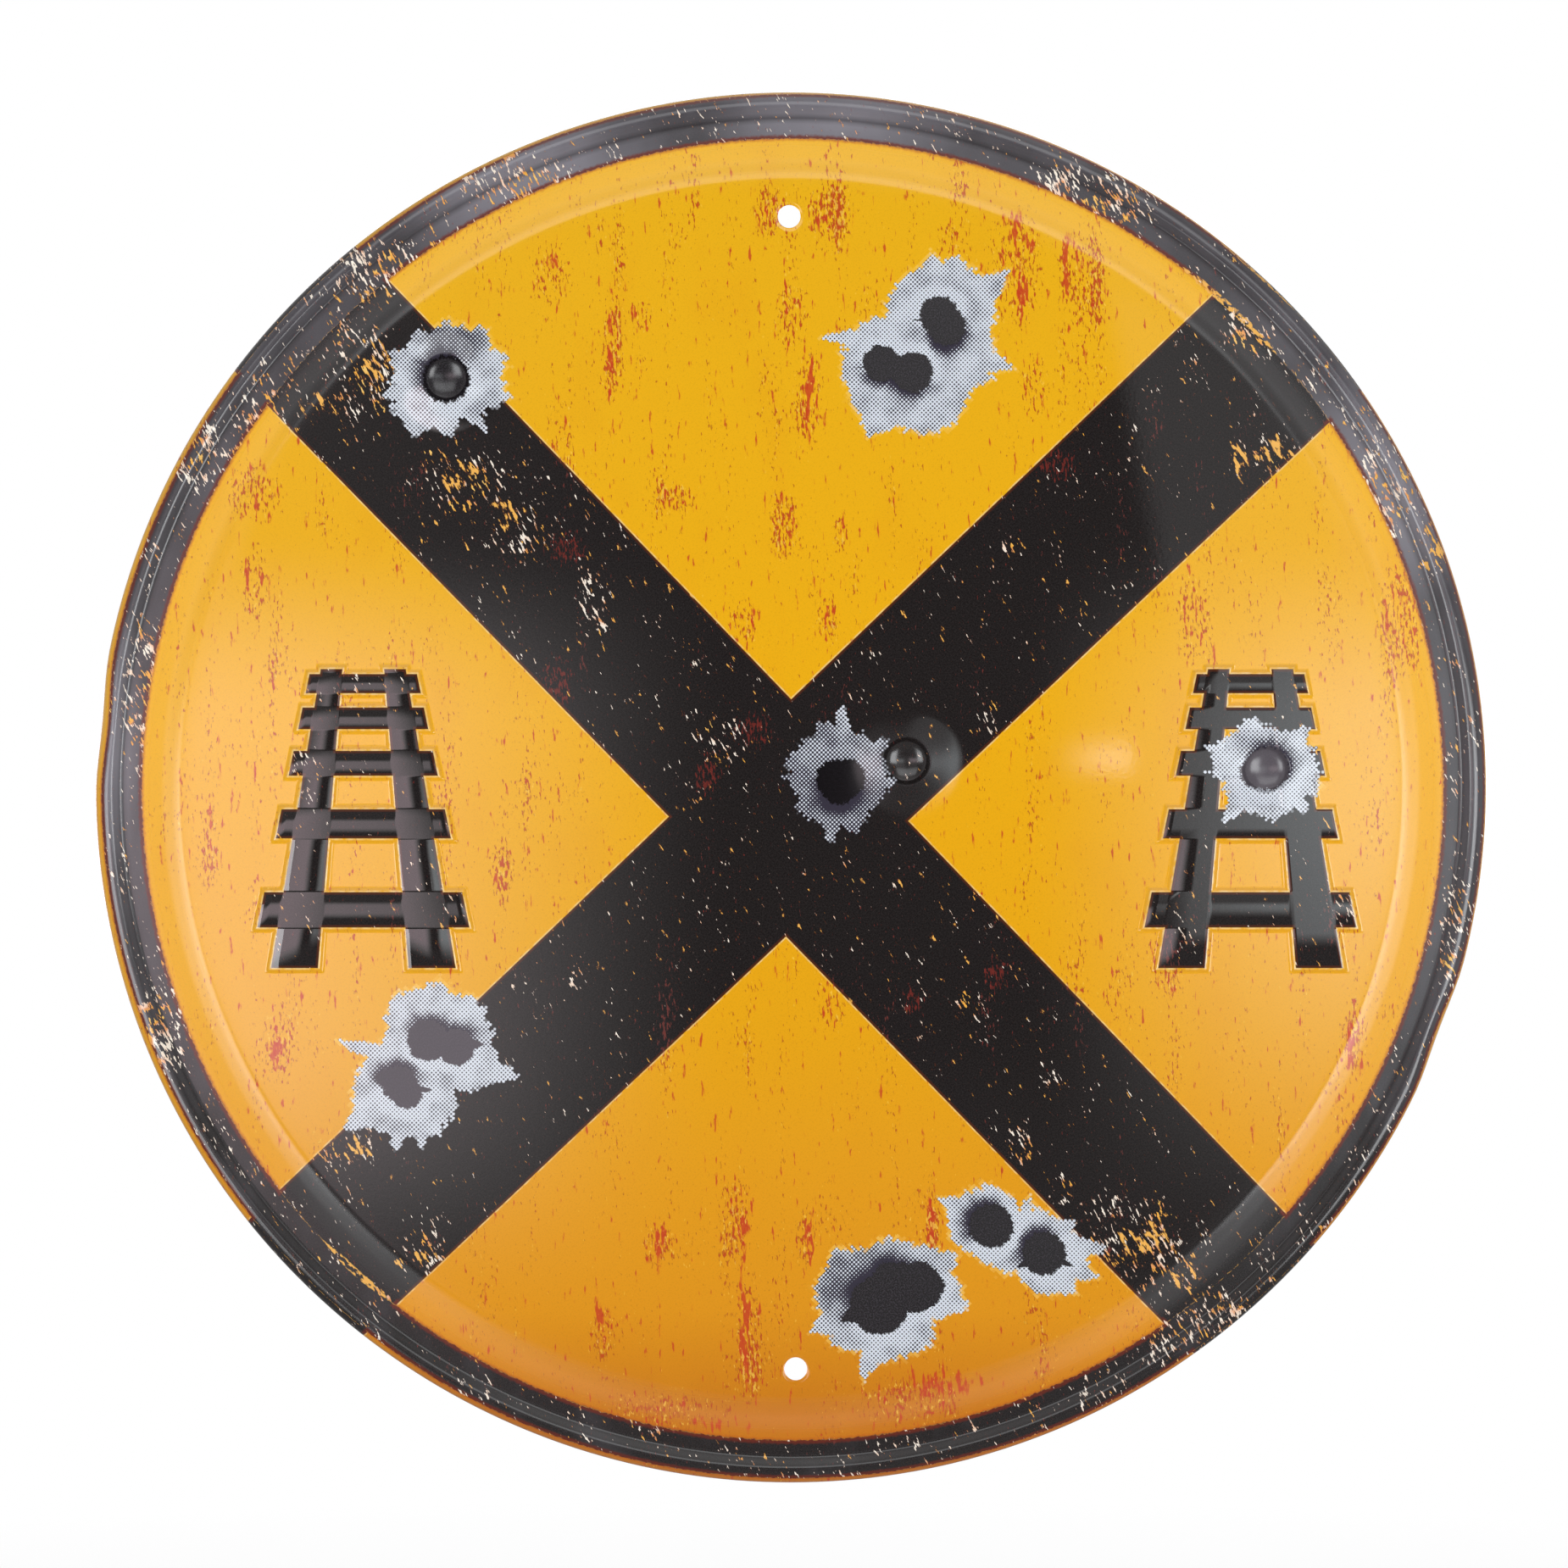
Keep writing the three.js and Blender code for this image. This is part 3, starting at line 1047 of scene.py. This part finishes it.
print(len(chipped_places), "chipped places and", len(large_chips), "places with larger chips")

# %% Flecks on the black
chip_patch_size = (6 * mm, 12 * mm)
fleck_size = (0.66 * mm, 2.4 * mm)
tint_size = (5 * mm, 6 * mm)
chip_size = (1.4 * mm, 4.2 * mm)
rim_width = 6 * mm

chipped = ovals("chipped places", chipped_places)
chip_patch = pattern(chip_patch_size, lean=25, shift=0.6, detail=3)
near_rim = above(0 - ring, -rim_width, 200)
chip_chance = chipped.least(0.5) * 0.27 + above(chip_patch, 0.46, 0.5) + near_rim * 0.05
fleck = pattern(fleck_size, lean=28, shift=0.35, roughness=0.6) + chip_chance
tint = pattern(tint_size, shift=0.8) + chipped * 0.12
fleck_colour = ramp(
    tint,
    [
        (0.46, ink(248, 236, 220)),
        (0.58, ink(242, 208, 182)),
        (0.62, ink(222, 150, 100)),
        (0.70, ink(240, 172, 66)),
        (0.78, ink(242, 196, 110)),
    ],
)
black = over(black, ink(92, 34, 26), above(fleck, 0.75, 12) * 0.7)
black = over(black, fleck_colour, above(fleck, 0.79, 26))
chip = pattern(chip_size, lean=30, shift=0.75, detail=3, roughness=0.6)
chip = chip + ovals("large chips", large_chips).least(0.6) * 0.3
black = over(black, ink(120, 56, 26), above(chip, 0.69, 12) * 0.7)
black = over(black, ink(240, 180, 88), above(chip, 0.73, 24))
red_dash = dash_noise + ovals("red places", red_places).least(0.6) * 0.4
black = over(black, ink(132, 48, 40), above(red_dash, 0.73, 9) * 0.6)
sign_colour = over(sign_colour, black, inside(black_edge, 0.12 * mm))
print("the black is laid over the yellow")

# %% Scratched seams
seam_places = [(94, 103, 15, 15), (-89, -100, 12, 11)]
scratch_size = (0.8 * mm, 1.6 * mm)

scratches = ovals("scratched seams", seam_places)
scratch_edge = abs(ring + 0.1 * mm) - (scratches * (1.6 * mm)).least(0.7 * mm)
scratch_break = pattern(scratch_size, lean=45, shift=0.5)
scratch = inside(scratch_edge, 0.2 * mm) * above(scratch_break, 0.44, 9)
sign_colour = over(sign_colour, ink(236, 176, 84), scratch)
print(len(seam_places), "seams are scratched where the bars meet the border")

# %% [markdown]
# ## The shot marks
#
# Each mark is a torn, star-shaped patch of bare metal round one or more dark holes. A star-shaped outline
# is one number for each direction: how far it reaches. A colour ramp holds these numbers well, with the
# direction as its position. The outline starts from overlapping discs, gets teeth by chance from a fixed
# seed, and the long teeth are listed. Noise round the turn adds the finest teeth.

# %% Torn outlines
ramp_limit = 32
tip_foot_share = 9 / 360


def disc_reach(centre, discs, angle):
    """How far a ray from the centre runs before it leaves the last of several discs."""
    ray = Vector((math.cos(angle), math.sin(angle)))
    reaches = []
    for x, z, radius in discs:
        offset = Vector((x, z)) - centre
        along = offset.dot(ray)
        inner = radius ** 2 - offset.length_squared + along ** 2
        if inner > 0:
            reaches.append(along + math.sqrt(inner))
    return max(reaches)


def torn_outline(centre, discs, tips, tooth, seed):
    """An outline as pairs of a share of the full turn and a reach in millimetres."""
    chance = random.Random(seed)
    outline = []
    for x, z in tips:
        offset = Vector((x, z)) - centre
        share = (math.atan2(offset.y, offset.x) / math.pi + 1) / 2
        for side in (-1, 1):
            beside = min(max(share + side * tip_foot_share, 0.01), 0.99)
            outline.append((beside, disc_reach(centre, discs, (beside * 2 - 1) * math.pi)))
        outline.append((share, offset.length))
    teeth = ramp_limit - 2 - len(outline)
    tip_shares = [share for share, _ in outline[2::3]]
    for i in range(teeth):
        share = (i + 0.5 + chance.uniform(-0.25, 0.25)) / teeth
        if min([abs(share - tip) for tip in tip_shares], default=1) > tip_foot_share:
            length = tooth * chance.uniform(0.3, 1) * (1 if i % 2 else -0.5)
            outline.append((share, disc_reach(centre, discs, (share * 2 - 1) * math.pi) + length))
    seam = disc_reach(centre, discs, math.pi)
    return sorted([(0.0, seam), (1.0, seam), *outline])


print("an outline has at most", ramp_limit, "stops")

# %% Distance to an outline
ripple_reach = 5 * mm


def outside_outline(where, centre, outline, tooth_width, tooth_length):
    """How far a place is outside a star-shaped outline, and the direction it lies in."""
    offset = where.vector("SUBTRACT", (centre.x * mm, centre.y * mm, 0))
    offset_x, offset_z, _ = offset.parts()
    angle = offset_z.math("ARCTAN2", offset_x)
    distance = offset.vector("LENGTH", output="Value")
    furthest = max(reach for _, reach in outline)
    stops = [(share, reach / furthest) for share, reach in outline]
    reach = ramp(angle.math("MULTIPLY_ADD", 0.5 / math.pi, 0.5), stops)
    turn_place = {"X": angle * (furthest / tooth_width), "Y": distance / ripple_reach}
    teeth = noise(add_node(where.tree, "ShaderNodeCombineXYZ", None, turn_place), 2, 0.6) - 0.5
    return distance - reach * (furthest * mm) - teeth * (2 * tooth_length * mm), angle


print(f"the ripple of an edge changes over {ripple_reach / mm:.0f} mm outwards")

# %% The marks' places
# A patch is its middle, its discs as x, z and radius, and the tips of its long teeth, all in millimetres.
patches = [
    ((-74.2, 87.0), [(-71, 88.8, 10), (-75.8, 87.8, 10), (-74.5, 85.5, 8.4), (-78.1, 84.2, 7.6)],
     [(-65.1, 75.9), (-61, 92.1), (-86.8, 83.9)]),
    ((28.5, 94.0), [(33, 101.7, 11), (22.9, 89, 12.6), (29.1, 86.8, 9.7), (37.2, 92.9, 6.5)],
     [(5.2, 96.4), (46.8, 110.7), (47.9, 89.7), (30.2, 114.4), (35.6, 114.1), (15.9, 74.9)]),
    ((10.4, 1.8), [(10.2, 2.3, 10.6)],
     [(11.1, 18.5), (21.4, 10.5), (-3, 2.3), (3.6, 10.5), (23.2, 0.8), (8.3, -12.8)]),
    ((101.6, 3.6), [(101.6, 3.3, 9.8), (99, 5.5, 8.4), (104.9, 4.3, 8.4)],
     [(92.1, -7.9), (88.2, 3.2), (88.4, 8.4), (111, 13.1), (111.1, -5.6), (98.6, 14.8)]),
    ((-79.0, -59.0), [(-76, -54.8, 11.8), (-84.4, -65, 9.6), (-78.4, -68, 6.4), (-68.1, -59.6, 6)],
     [(-97.5, -54.3), (-96.2, -74.2), (-58, -61.9), (-84.7, -78), (-79.3, -77.6), (-75.4, -40.9)]),
    ((20.8, -109.5), [(15.7, -109.1, 10.6), (25.9, -106.8, 9.4), (20.3, -113.8, 9.6), (32.9, -108.2, 4.2)],
     [(15.4, -127.5), (4.1, -117), (7.1, -104), (37.7, -111.9), (35.5, -99.5)]),
    ((48.5, -97.0), [(41.7, -93.4, 8), (48.5, -96.6, 7.2), (55.2, -100.3, 8)],
     [(31.9, -88.2), (41.5, -84.8), (51.4, -87.3), (60.3, -93.1), (67.7, -98.9), (65.8, -105),
      (52.6, -108.2)]),
]
# A hole also has the side, in degrees, on which the metal round it is darkest.
shot_holes = [
    ((-73.9, 87.5), [(-73.9, 87.5, 5.1)], [], 135),
    ((32.4, 99.9), [(31.7, 101.1, 4.1), (33.3, 98.8, 4.1)], [(25.2, 100.2)], -80),
    ((22.8, 89.9), [(19.3, 90.8, 3.9), (26.1, 88.9, 4.3)], [(13.3, 89.9)], -100),
    ((10.5, 1.2), [(9.6, 1.7, 4.2), (11.8, 2, 4.1), (10.2, -0.4, 3.4)], [], -90),
    ((101.4, 3.7), [(102.1, 4, 4.7), (99.5, 3.2, 3.4)], [], 60),
    ((-74.8, -54.9), [(-77.9, -54.2, 4.4), (-71.7, -55.7, 3.9)], [(-65.6, -55)], 80),
    ((-83.2, -64.2), [(-83.8, -63.5, 3.8), (-82.3, -65.6, 3.3), (-87.1, -62.3, 1.9)],
     [(-76.6, -64.9)], 100),
    ((22.5, -109), [(18.9, -111, 6.3), (27.3, -107, 5.3), (21.7, -106.3, 4.6)],
     [(10.3, -114.3), (33.2, -106.6)], 120),
    ((42.9, -94), [(42.9, -94, 4.7)], [], 140),
    ((54.2, -99.9), [(54.2, -99.9, 4.6)], [(48.4, -103), (60.6, -102.7)], 130),
]
print(len(patches), "torn patches with", len(shot_holes), "holes")

# %% Outlines of the patches and the holes
# In millimetres: how far chance teeth reach, and how wide and long the finest teeth are.
patch_tooth = 2.0
patch_ripple = (1.3, 2.2)
hole_tooth = 0.35
hole_ripple = (0.9, 0.6)
shade_width = 3.6 * mm


def patch_outlines(where):
    """How far a place is outside the nearest torn patch."""
    edges = []
    for seed, (centre, discs, tips) in enumerate(patches):
        centre = Vector(centre)
        outline = torn_outline(centre, discs, tips, patch_tooth, seed)
        edges.append(outside_outline(where, centre, outline, *patch_ripple)[0])
    return [reduce(Wire.least, edges)]


def hole_outlines(where):
    """How far a place is outside the nearest hole, and how dark the metal is shaded round the holes."""
    edges = []
    shades = []
    for seed, (centre, discs, tips, dark_side) in enumerate(shot_holes):
        centre = Vector(centre)
        outline = torn_outline(centre, discs, tips, hole_tooth, seed + 100)
        edge, angle = outside_outline(where, centre, outline, *hole_ripple)
        near = above(0 - edge / shade_width, -1, 1)
        facing = (angle - math.radians(dark_side)).math("COSINE")
        edges.append(edge)
        shades.append(near * near * facing)
    return [reduce(Wire.least, edges), reduce(Wire.__add__, shades)]


print("torn teeth reach", patch_tooth, "mm and those of the holes", hole_tooth, "mm")

# %% [markdown]
# ## Halftone
#
# The torn metal was printed as a halftone: a grid of dots, turned by 45 degrees, which grow where the metal
# is darker. Two cosine waves across each other make the dots, and the tone is added to them before a
# threshold. A patch ends in whole dots, so its outline is measured at the middle of the dot's cell. The
# holes are solid ink, and their outline is measured at the place itself.

# %% Halftone dots
screen_pitch = 0.66 * mm
soft_light_size = (5 * mm, 5 * mm)
dull_patches = [(10, -1, 26, 22), (-72, 95, 9, 7), (14, -106, 11, 11)]

screen_turn = math.sqrt(0.5) / screen_pitch
screen_u = (print_x + print_z) * screen_turn
screen_v = (print_z - print_x) * screen_turn
cell_u = screen_u.math("FLOOR") + 0.5
cell_v = screen_v.math("FLOOR") + 0.5
cell_x = (cell_u - cell_v) * (0.5 / screen_turn)
cell_z = (cell_u + cell_v) * (0.5 / screen_turn)
cell_place = add_node(print_tree, "ShaderNodeCombineXYZ", None, {"X": cell_x, "Y": cell_z})
patch_edge = grouped("torn patches", cell_place, patch_outlines)[0]
hole_edge, shading = grouped("holes", place, hole_outlines)
soft_light = pattern(soft_light_size, shift=0.25, detail=3)
dull = ovals("dull patches", dull_patches)
tone = (shading * 0.95 + 0.37 + (soft_light - 0.5) * 0.6).most(0.27) + dull.least(0.7) * 0.5
dots = (screen_u * (2 * math.pi)).math("COSINE") + (screen_v * (2 * math.pi)).math("COSINE")
dot_ink = (dots * 0.25 + tone - 0.5).math("MULTIPLY_ADD", 3.2, 0.5, clamp=True)
metal = over(ink(222, 226, 234), ink(56, 52, 64), dot_ink)
print(f"halftone with {1 / (screen_pitch / mm):.1f} dots to the millimetre")

# %% Patches and holes on the print
# The holes of the lower left mark and of the right mark get paler ink; at the right mark this is a painted
# highlight in its pressed dimple.
pale_and_sheen_places = [(-79, -59, 26, 26), (102, 4, 16, 16)]

on_yellow = above(black_edge, 0, 1 / (0.3 * mm))
patch_glow = inside(patch_edge - 0.5 * mm, 0.8 * mm) * on_yellow
sign_colour = over(sign_colour, ink(250, 206, 100), patch_glow * 0.6)
sign_colour = over(sign_colour, metal, inside(patch_edge, 0.3 * mm))
off_centre = above(from_centre, 0, 1 / (40 * mm))
hole_grain = above(grain, -0.1, 1.4) * off_centre
hole_colour = over(ink(18, 15, 17), ink(66, 60, 67), hole_grain)
pale_and_sheen_holes = ovals("pale holes and painted sheen", pale_and_sheen_places).least(0.5)
hole_colour = over(hole_colour, ink(130, 122, 130), pale_and_sheen_holes * 0.8)
hole = inside(hole_edge + grain * (1 * mm), 0.25 * mm)
sign_colour = over(sign_colour, hole_colour, hole)
print(len(print_tree.nodes), "nodes make the colour of the print")

# %% [markdown]
# ## Lacquer and bare tin
#
# A glossy clear lacquer lies over the print. It is slightly uneven, like orange peel, and handling has
# dulled it towards the rim, over the step and in the holes. The back was never printed: it is bare
# tinplate, which shows the faint lines of the rolling mill and the large, soft flakes of the tin.

# %% Lacquer
peel_size = (1.1 * mm, 1.1 * mm)
peel_depth = 0.0008 * mm
handled_size = (30 * mm, 18 * mm)
dull_from_radius = 126 * mm
step_middle_radius = 134.5 * mm

peel = pattern(peel_size, shift=0.65)
handling = pattern(handled_size, lean=30, shift=0.85, detail=3)
peel_sockets = {"Strength": 1, "Distance": peel_depth, "Height": peel}
bump = add_node(print_tree, "ShaderNodeBump", None, peel_sockets, "Normal")
worn_gloss = above(from_centre, flat_radius(dull_from_radius), 120) * 0.15 + hole * off_centre * 0.2
step_band = abs(from_centre - flat_radius(step_middle_radius)) - 3 * mm
worn_gloss = worn_gloss + inside(step_band, 3 * mm) * 0.22
worn_gloss = worn_gloss + ovals("dulled dimple", [(25, 4, 14, 14)]).least(0.5) * 0.3
lacquer_sockets = {
    "Base Color": sign_colour,
    "Roughness": handling * 0.03 + 0.01 + worn_gloss,
    "Normal": bump,
    "Metallic": 0,
    "Specular IOR Level": 0.5,
}
plug(print_tree, lacquer, lacquer_sockets)
print(len(print_tree.nodes), "nodes in the print and its lacquer")

# %% Bare tin
bare_tin.use_nodes = True
tin_tree = bare_tin.node_tree
tin = tin_tree.nodes["Principled BSDF"]
tin_place = add_node(tin_tree, "ShaderNodeTexCoord", None, None, "Object")
rolling = {"Vector": tin_place, "Scale": (40 * mm, 40 * mm, 0.6 * mm)}
rolled_place = add_node(tin_tree, "ShaderNodeMapping", {"vector_type": "TEXTURE"}, rolling)
rolled_sockets = {"Vector": rolled_place, "Scale": 1, "Detail": 3}
rolled = add_node(tin_tree, "ShaderNodeTexNoise", None, rolled_sockets, "Fac")
flake = add_node(tin_tree, "ShaderNodeTexVoronoi", None, {"Vector": tin_place, "Scale": 90}, "Color")
tarnish_sockets = {"Vector": tin_place, "Scale": 25, "Detail": 4}
tarnish = add_node(tin_tree, "ShaderNodeTexNoise", None, tarnish_sockets, "Fac")
tin_colour = ramp(tarnish, [(0.3, ink(172, 169, 163)), (0.7, ink(206, 205, 202))])
tin_roughness = rolled * 0.22 + flake.parts()[0] * 0.06 + 0.24
plug(tin_tree, tin, {"Base Color": tin_colour, "Roughness": tin_roughness, "Metallic": 1})
print(len(tin_tree.nodes), "nodes in the tin")

# %% [markdown]
# ## The view
#
# The sign fills nine tenths of a square picture, seen straight on. A long lens about a metre away keeps the
# near rim and the flat panel in the same proportion as in the photograph.

# %% The view
camera_distance = 1.0
frame_width = 336.8 * mm
camera = bpy.data.cameras.new("camera")
camera.sensor_width = 36
camera.lens = camera.sensor_width / frame_width * camera_distance
camera_object = placed("camera", camera)
camera_object.location = (-1.5 * mm, -camera_distance, 0.7 * mm)
camera_object.rotation_euler = (math.pi / 2, 0, 0)
bpy.context.scene.camera = camera_object
print(f"a lens of {camera.lens:.0f} mm, {camera_distance} m away")

# %% [markdown]
# ## Lamps
#
# Two large softboxes stand beside the camera, left and right, a dimmer one hangs above it, and another dim
# one behind the sign lights its back for a view from there. The flat of the sheet is a mirror: a thing
# beside the camera shows in it at half its distance from the middle. So the softboxes stand far enough out
# that the flat doesn't mirror them, and only the rim and the raised forms do.

# %% Lamps
front_y = -1.02
back_y = 1.5
lamp_colour = (0.96, 0.98, 1.0)
energy_per_area = 4
softboxes = {
    "right softbox": (0.45, 1.0, -0.55, 0.10, front_y, 6.1),
    "left softbox": (-1.0, -0.45, -0.75, 0.04, front_y, 5.4),
    "top softbox": (-0.50, 0.50, 0.31, 0.80, front_y, 1.8),
    "back softbox": (-0.5, 0.5, 0.1, 0.9, back_y, 1.6),
}


def softbox(name, left, right, bottom, top, y, radiance):
    """An upright soft lamp that faces the sign, from its edges and how bright its face looks."""
    lamp = bpy.data.lights.new(name, "AREA")
    lamp.shape = "RECTANGLE"
    lamp.size = right - left
    lamp.size_y = top - bottom
    lamp.energy = radiance * energy_per_area * lamp.size * lamp.size_y
    lamp.color = lamp_colour
    lamp_object = placed(name, lamp)
    lamp_object.location = ((left + right) / 2, y, (bottom + top) / 2)
    lamp_object.rotation_euler = (math.radians(90 if y < 0 else -90), 0, 0)
    lamp_object.visible_camera = False


for name, sizes in softboxes.items():
    softbox(name, *sizes)
print(len(softboxes), "softboxes")

# %% [markdown]
# ## The floor
#
# The sign hangs above a plain pale floor. It lies so low that the main view meets no more than its faded
# edge, and it shows when the camera looks down. It takes the sign's soft shadow, and its edge fades to the
# white of the room.

# %% The floor
floor_level = -0.30
floor_radius = 1.0
floor_fade = 0.7
floor_sides = 96
floor_mesh = bpy.data.meshes.new("floor")
floor_points = []
for i in range(floor_sides):
    turn = 2 * math.pi * i / floor_sides
    floor_points.append((math.cos(turn) * floor_radius, math.sin(turn) * floor_radius, floor_level))
floor_mesh.from_pydata(floor_points, [], [range(floor_sides)])
floor_object = placed("floor", floor_mesh)
print("floor at", floor_level)

# %% The floor's paint
floor_paint = bpy.data.materials.new("floor_white")
floor_paint.use_nodes = True
floor_tree = floor_paint.node_tree
floor_shader = floor_tree.nodes["Principled BSDF"]
floor_place = add_node(floor_tree, "ShaderNodeTexCoord", None, None, "Object")
from_middle = floor_place.vector("LENGTH", output="Value")
floor_seen = add_node(floor_tree, "ShaderNodeLightPath", None, None, "Is Camera Ray")
floor_sockets = {
    "Base Color": (0.8, 0.8, 0.8, 1),
    "Roughness": 0.9,
    "Emission Color": (1, 1, 1, 1),
    "Emission Strength": floor_seen * 0.5,
    "Alpha": above(floor_radius - from_middle, 0, 1 / floor_fade),
}
plug(floor_tree, floor_shader, floor_sockets)
floor_mesh.materials.append(floor_paint)
print("the floor fades out over", floor_fade, "m")

# %% [markdown]
# ## The room that the sheet mirrors
#
# In the photograph the outer parts of the sign look veiled and the middle doesn't: the sheet mirrors the
# softboxes' near sides, which fade towards the camera. Lamps have hard edges, so the world stands for those
# sides. Rays that left a glossy surface see a dim room with a soft glow on the left and on the right, a
# pale screen, a faint floor and one small lamp. Rays from the camera see plain white, and the light that
# falls on the sign from all round is low and even. Each glow is a product of soft edges in the direction of
# the ray.

# %% The room
even_light = 0.21
scene = bpy.context.scene
scene.view_settings.view_transform = "Standard"
world = bpy.data.worlds.new("studio")
scene.world = world
world.use_nodes = True
sky = world.node_tree
seen = add_node(sky, "ShaderNodeLightPath", None, None, "Is Camera Ray")
ray_kinds = seen.socket.node.outputs
shiny = Wire(sky, ray_kinds["Is Glossy Ray"]).most(Wire(sky, ray_kinds["Is Transmission Ray"]))
toward_x, toward_y, toward_z = add_node(sky, "ShaderNodeTexCoord", None, None, "Generated").parts()

dim_room = above(toward_y, -0.85, 2.2) * above(toward_z, -0.8, 1.25)
box_height = soft_edge(toward_z, 0.055, 0.012)
left_glow = soft_edge(toward_x, -0.01, -0.13) * soft_edge(toward_z, -0.12, -0.05)
left_glow = left_glow * (box_height * 0.92 + 0.08)
right_glow = soft_edge(toward_x, 0.05, 0.13) * soft_edge(toward_z, -0.105, 0) * box_height
screen_glow = soft_edge(toward_x + toward_z * 0.2, 0.087, 0.093) * soft_edge(toward_z, 0.02, 0.05)
screen_glow = screen_glow * soft_edge(toward_x, 0.42, 0.40)
floor_glow = soft_edge(toward_z, -0.05, -0.09)
small_lamp = soft_edge(toward_x, 0.0575, 0.070) * soft_edge(toward_x, 0.076, 0.073)
small_lamp = small_lamp * soft_edge(toward_z, 0, 0.0055) * soft_edge(toward_z, 0.0115, 0.0055)
boxes = left_glow * soft_edge(toward_x, -0.42, -0.40) + right_glow * soft_edge(toward_x, 0.42, 0.40)
mirrored = dim_room * 0.7 + 0.05 + boxes * 3.8 + screen_glow * 0.6 + floor_glow * 0.1 + small_lamp * 4
strength = seen.most(shiny * mirrored).most(even_light - shiny * even_light)
sky_colour = over((1, 1, 1, 1), (0.9, 0.97, 1, 1), right_glow * shiny)
sky_colour = over(sky_colour, (1, 0.8, 0.86, 1), left_glow * shiny)
plug(sky, sky.nodes["Background"], {"Strength": strength, "Color": sky_colour})
print(len(sky.nodes), "nodes in the room")
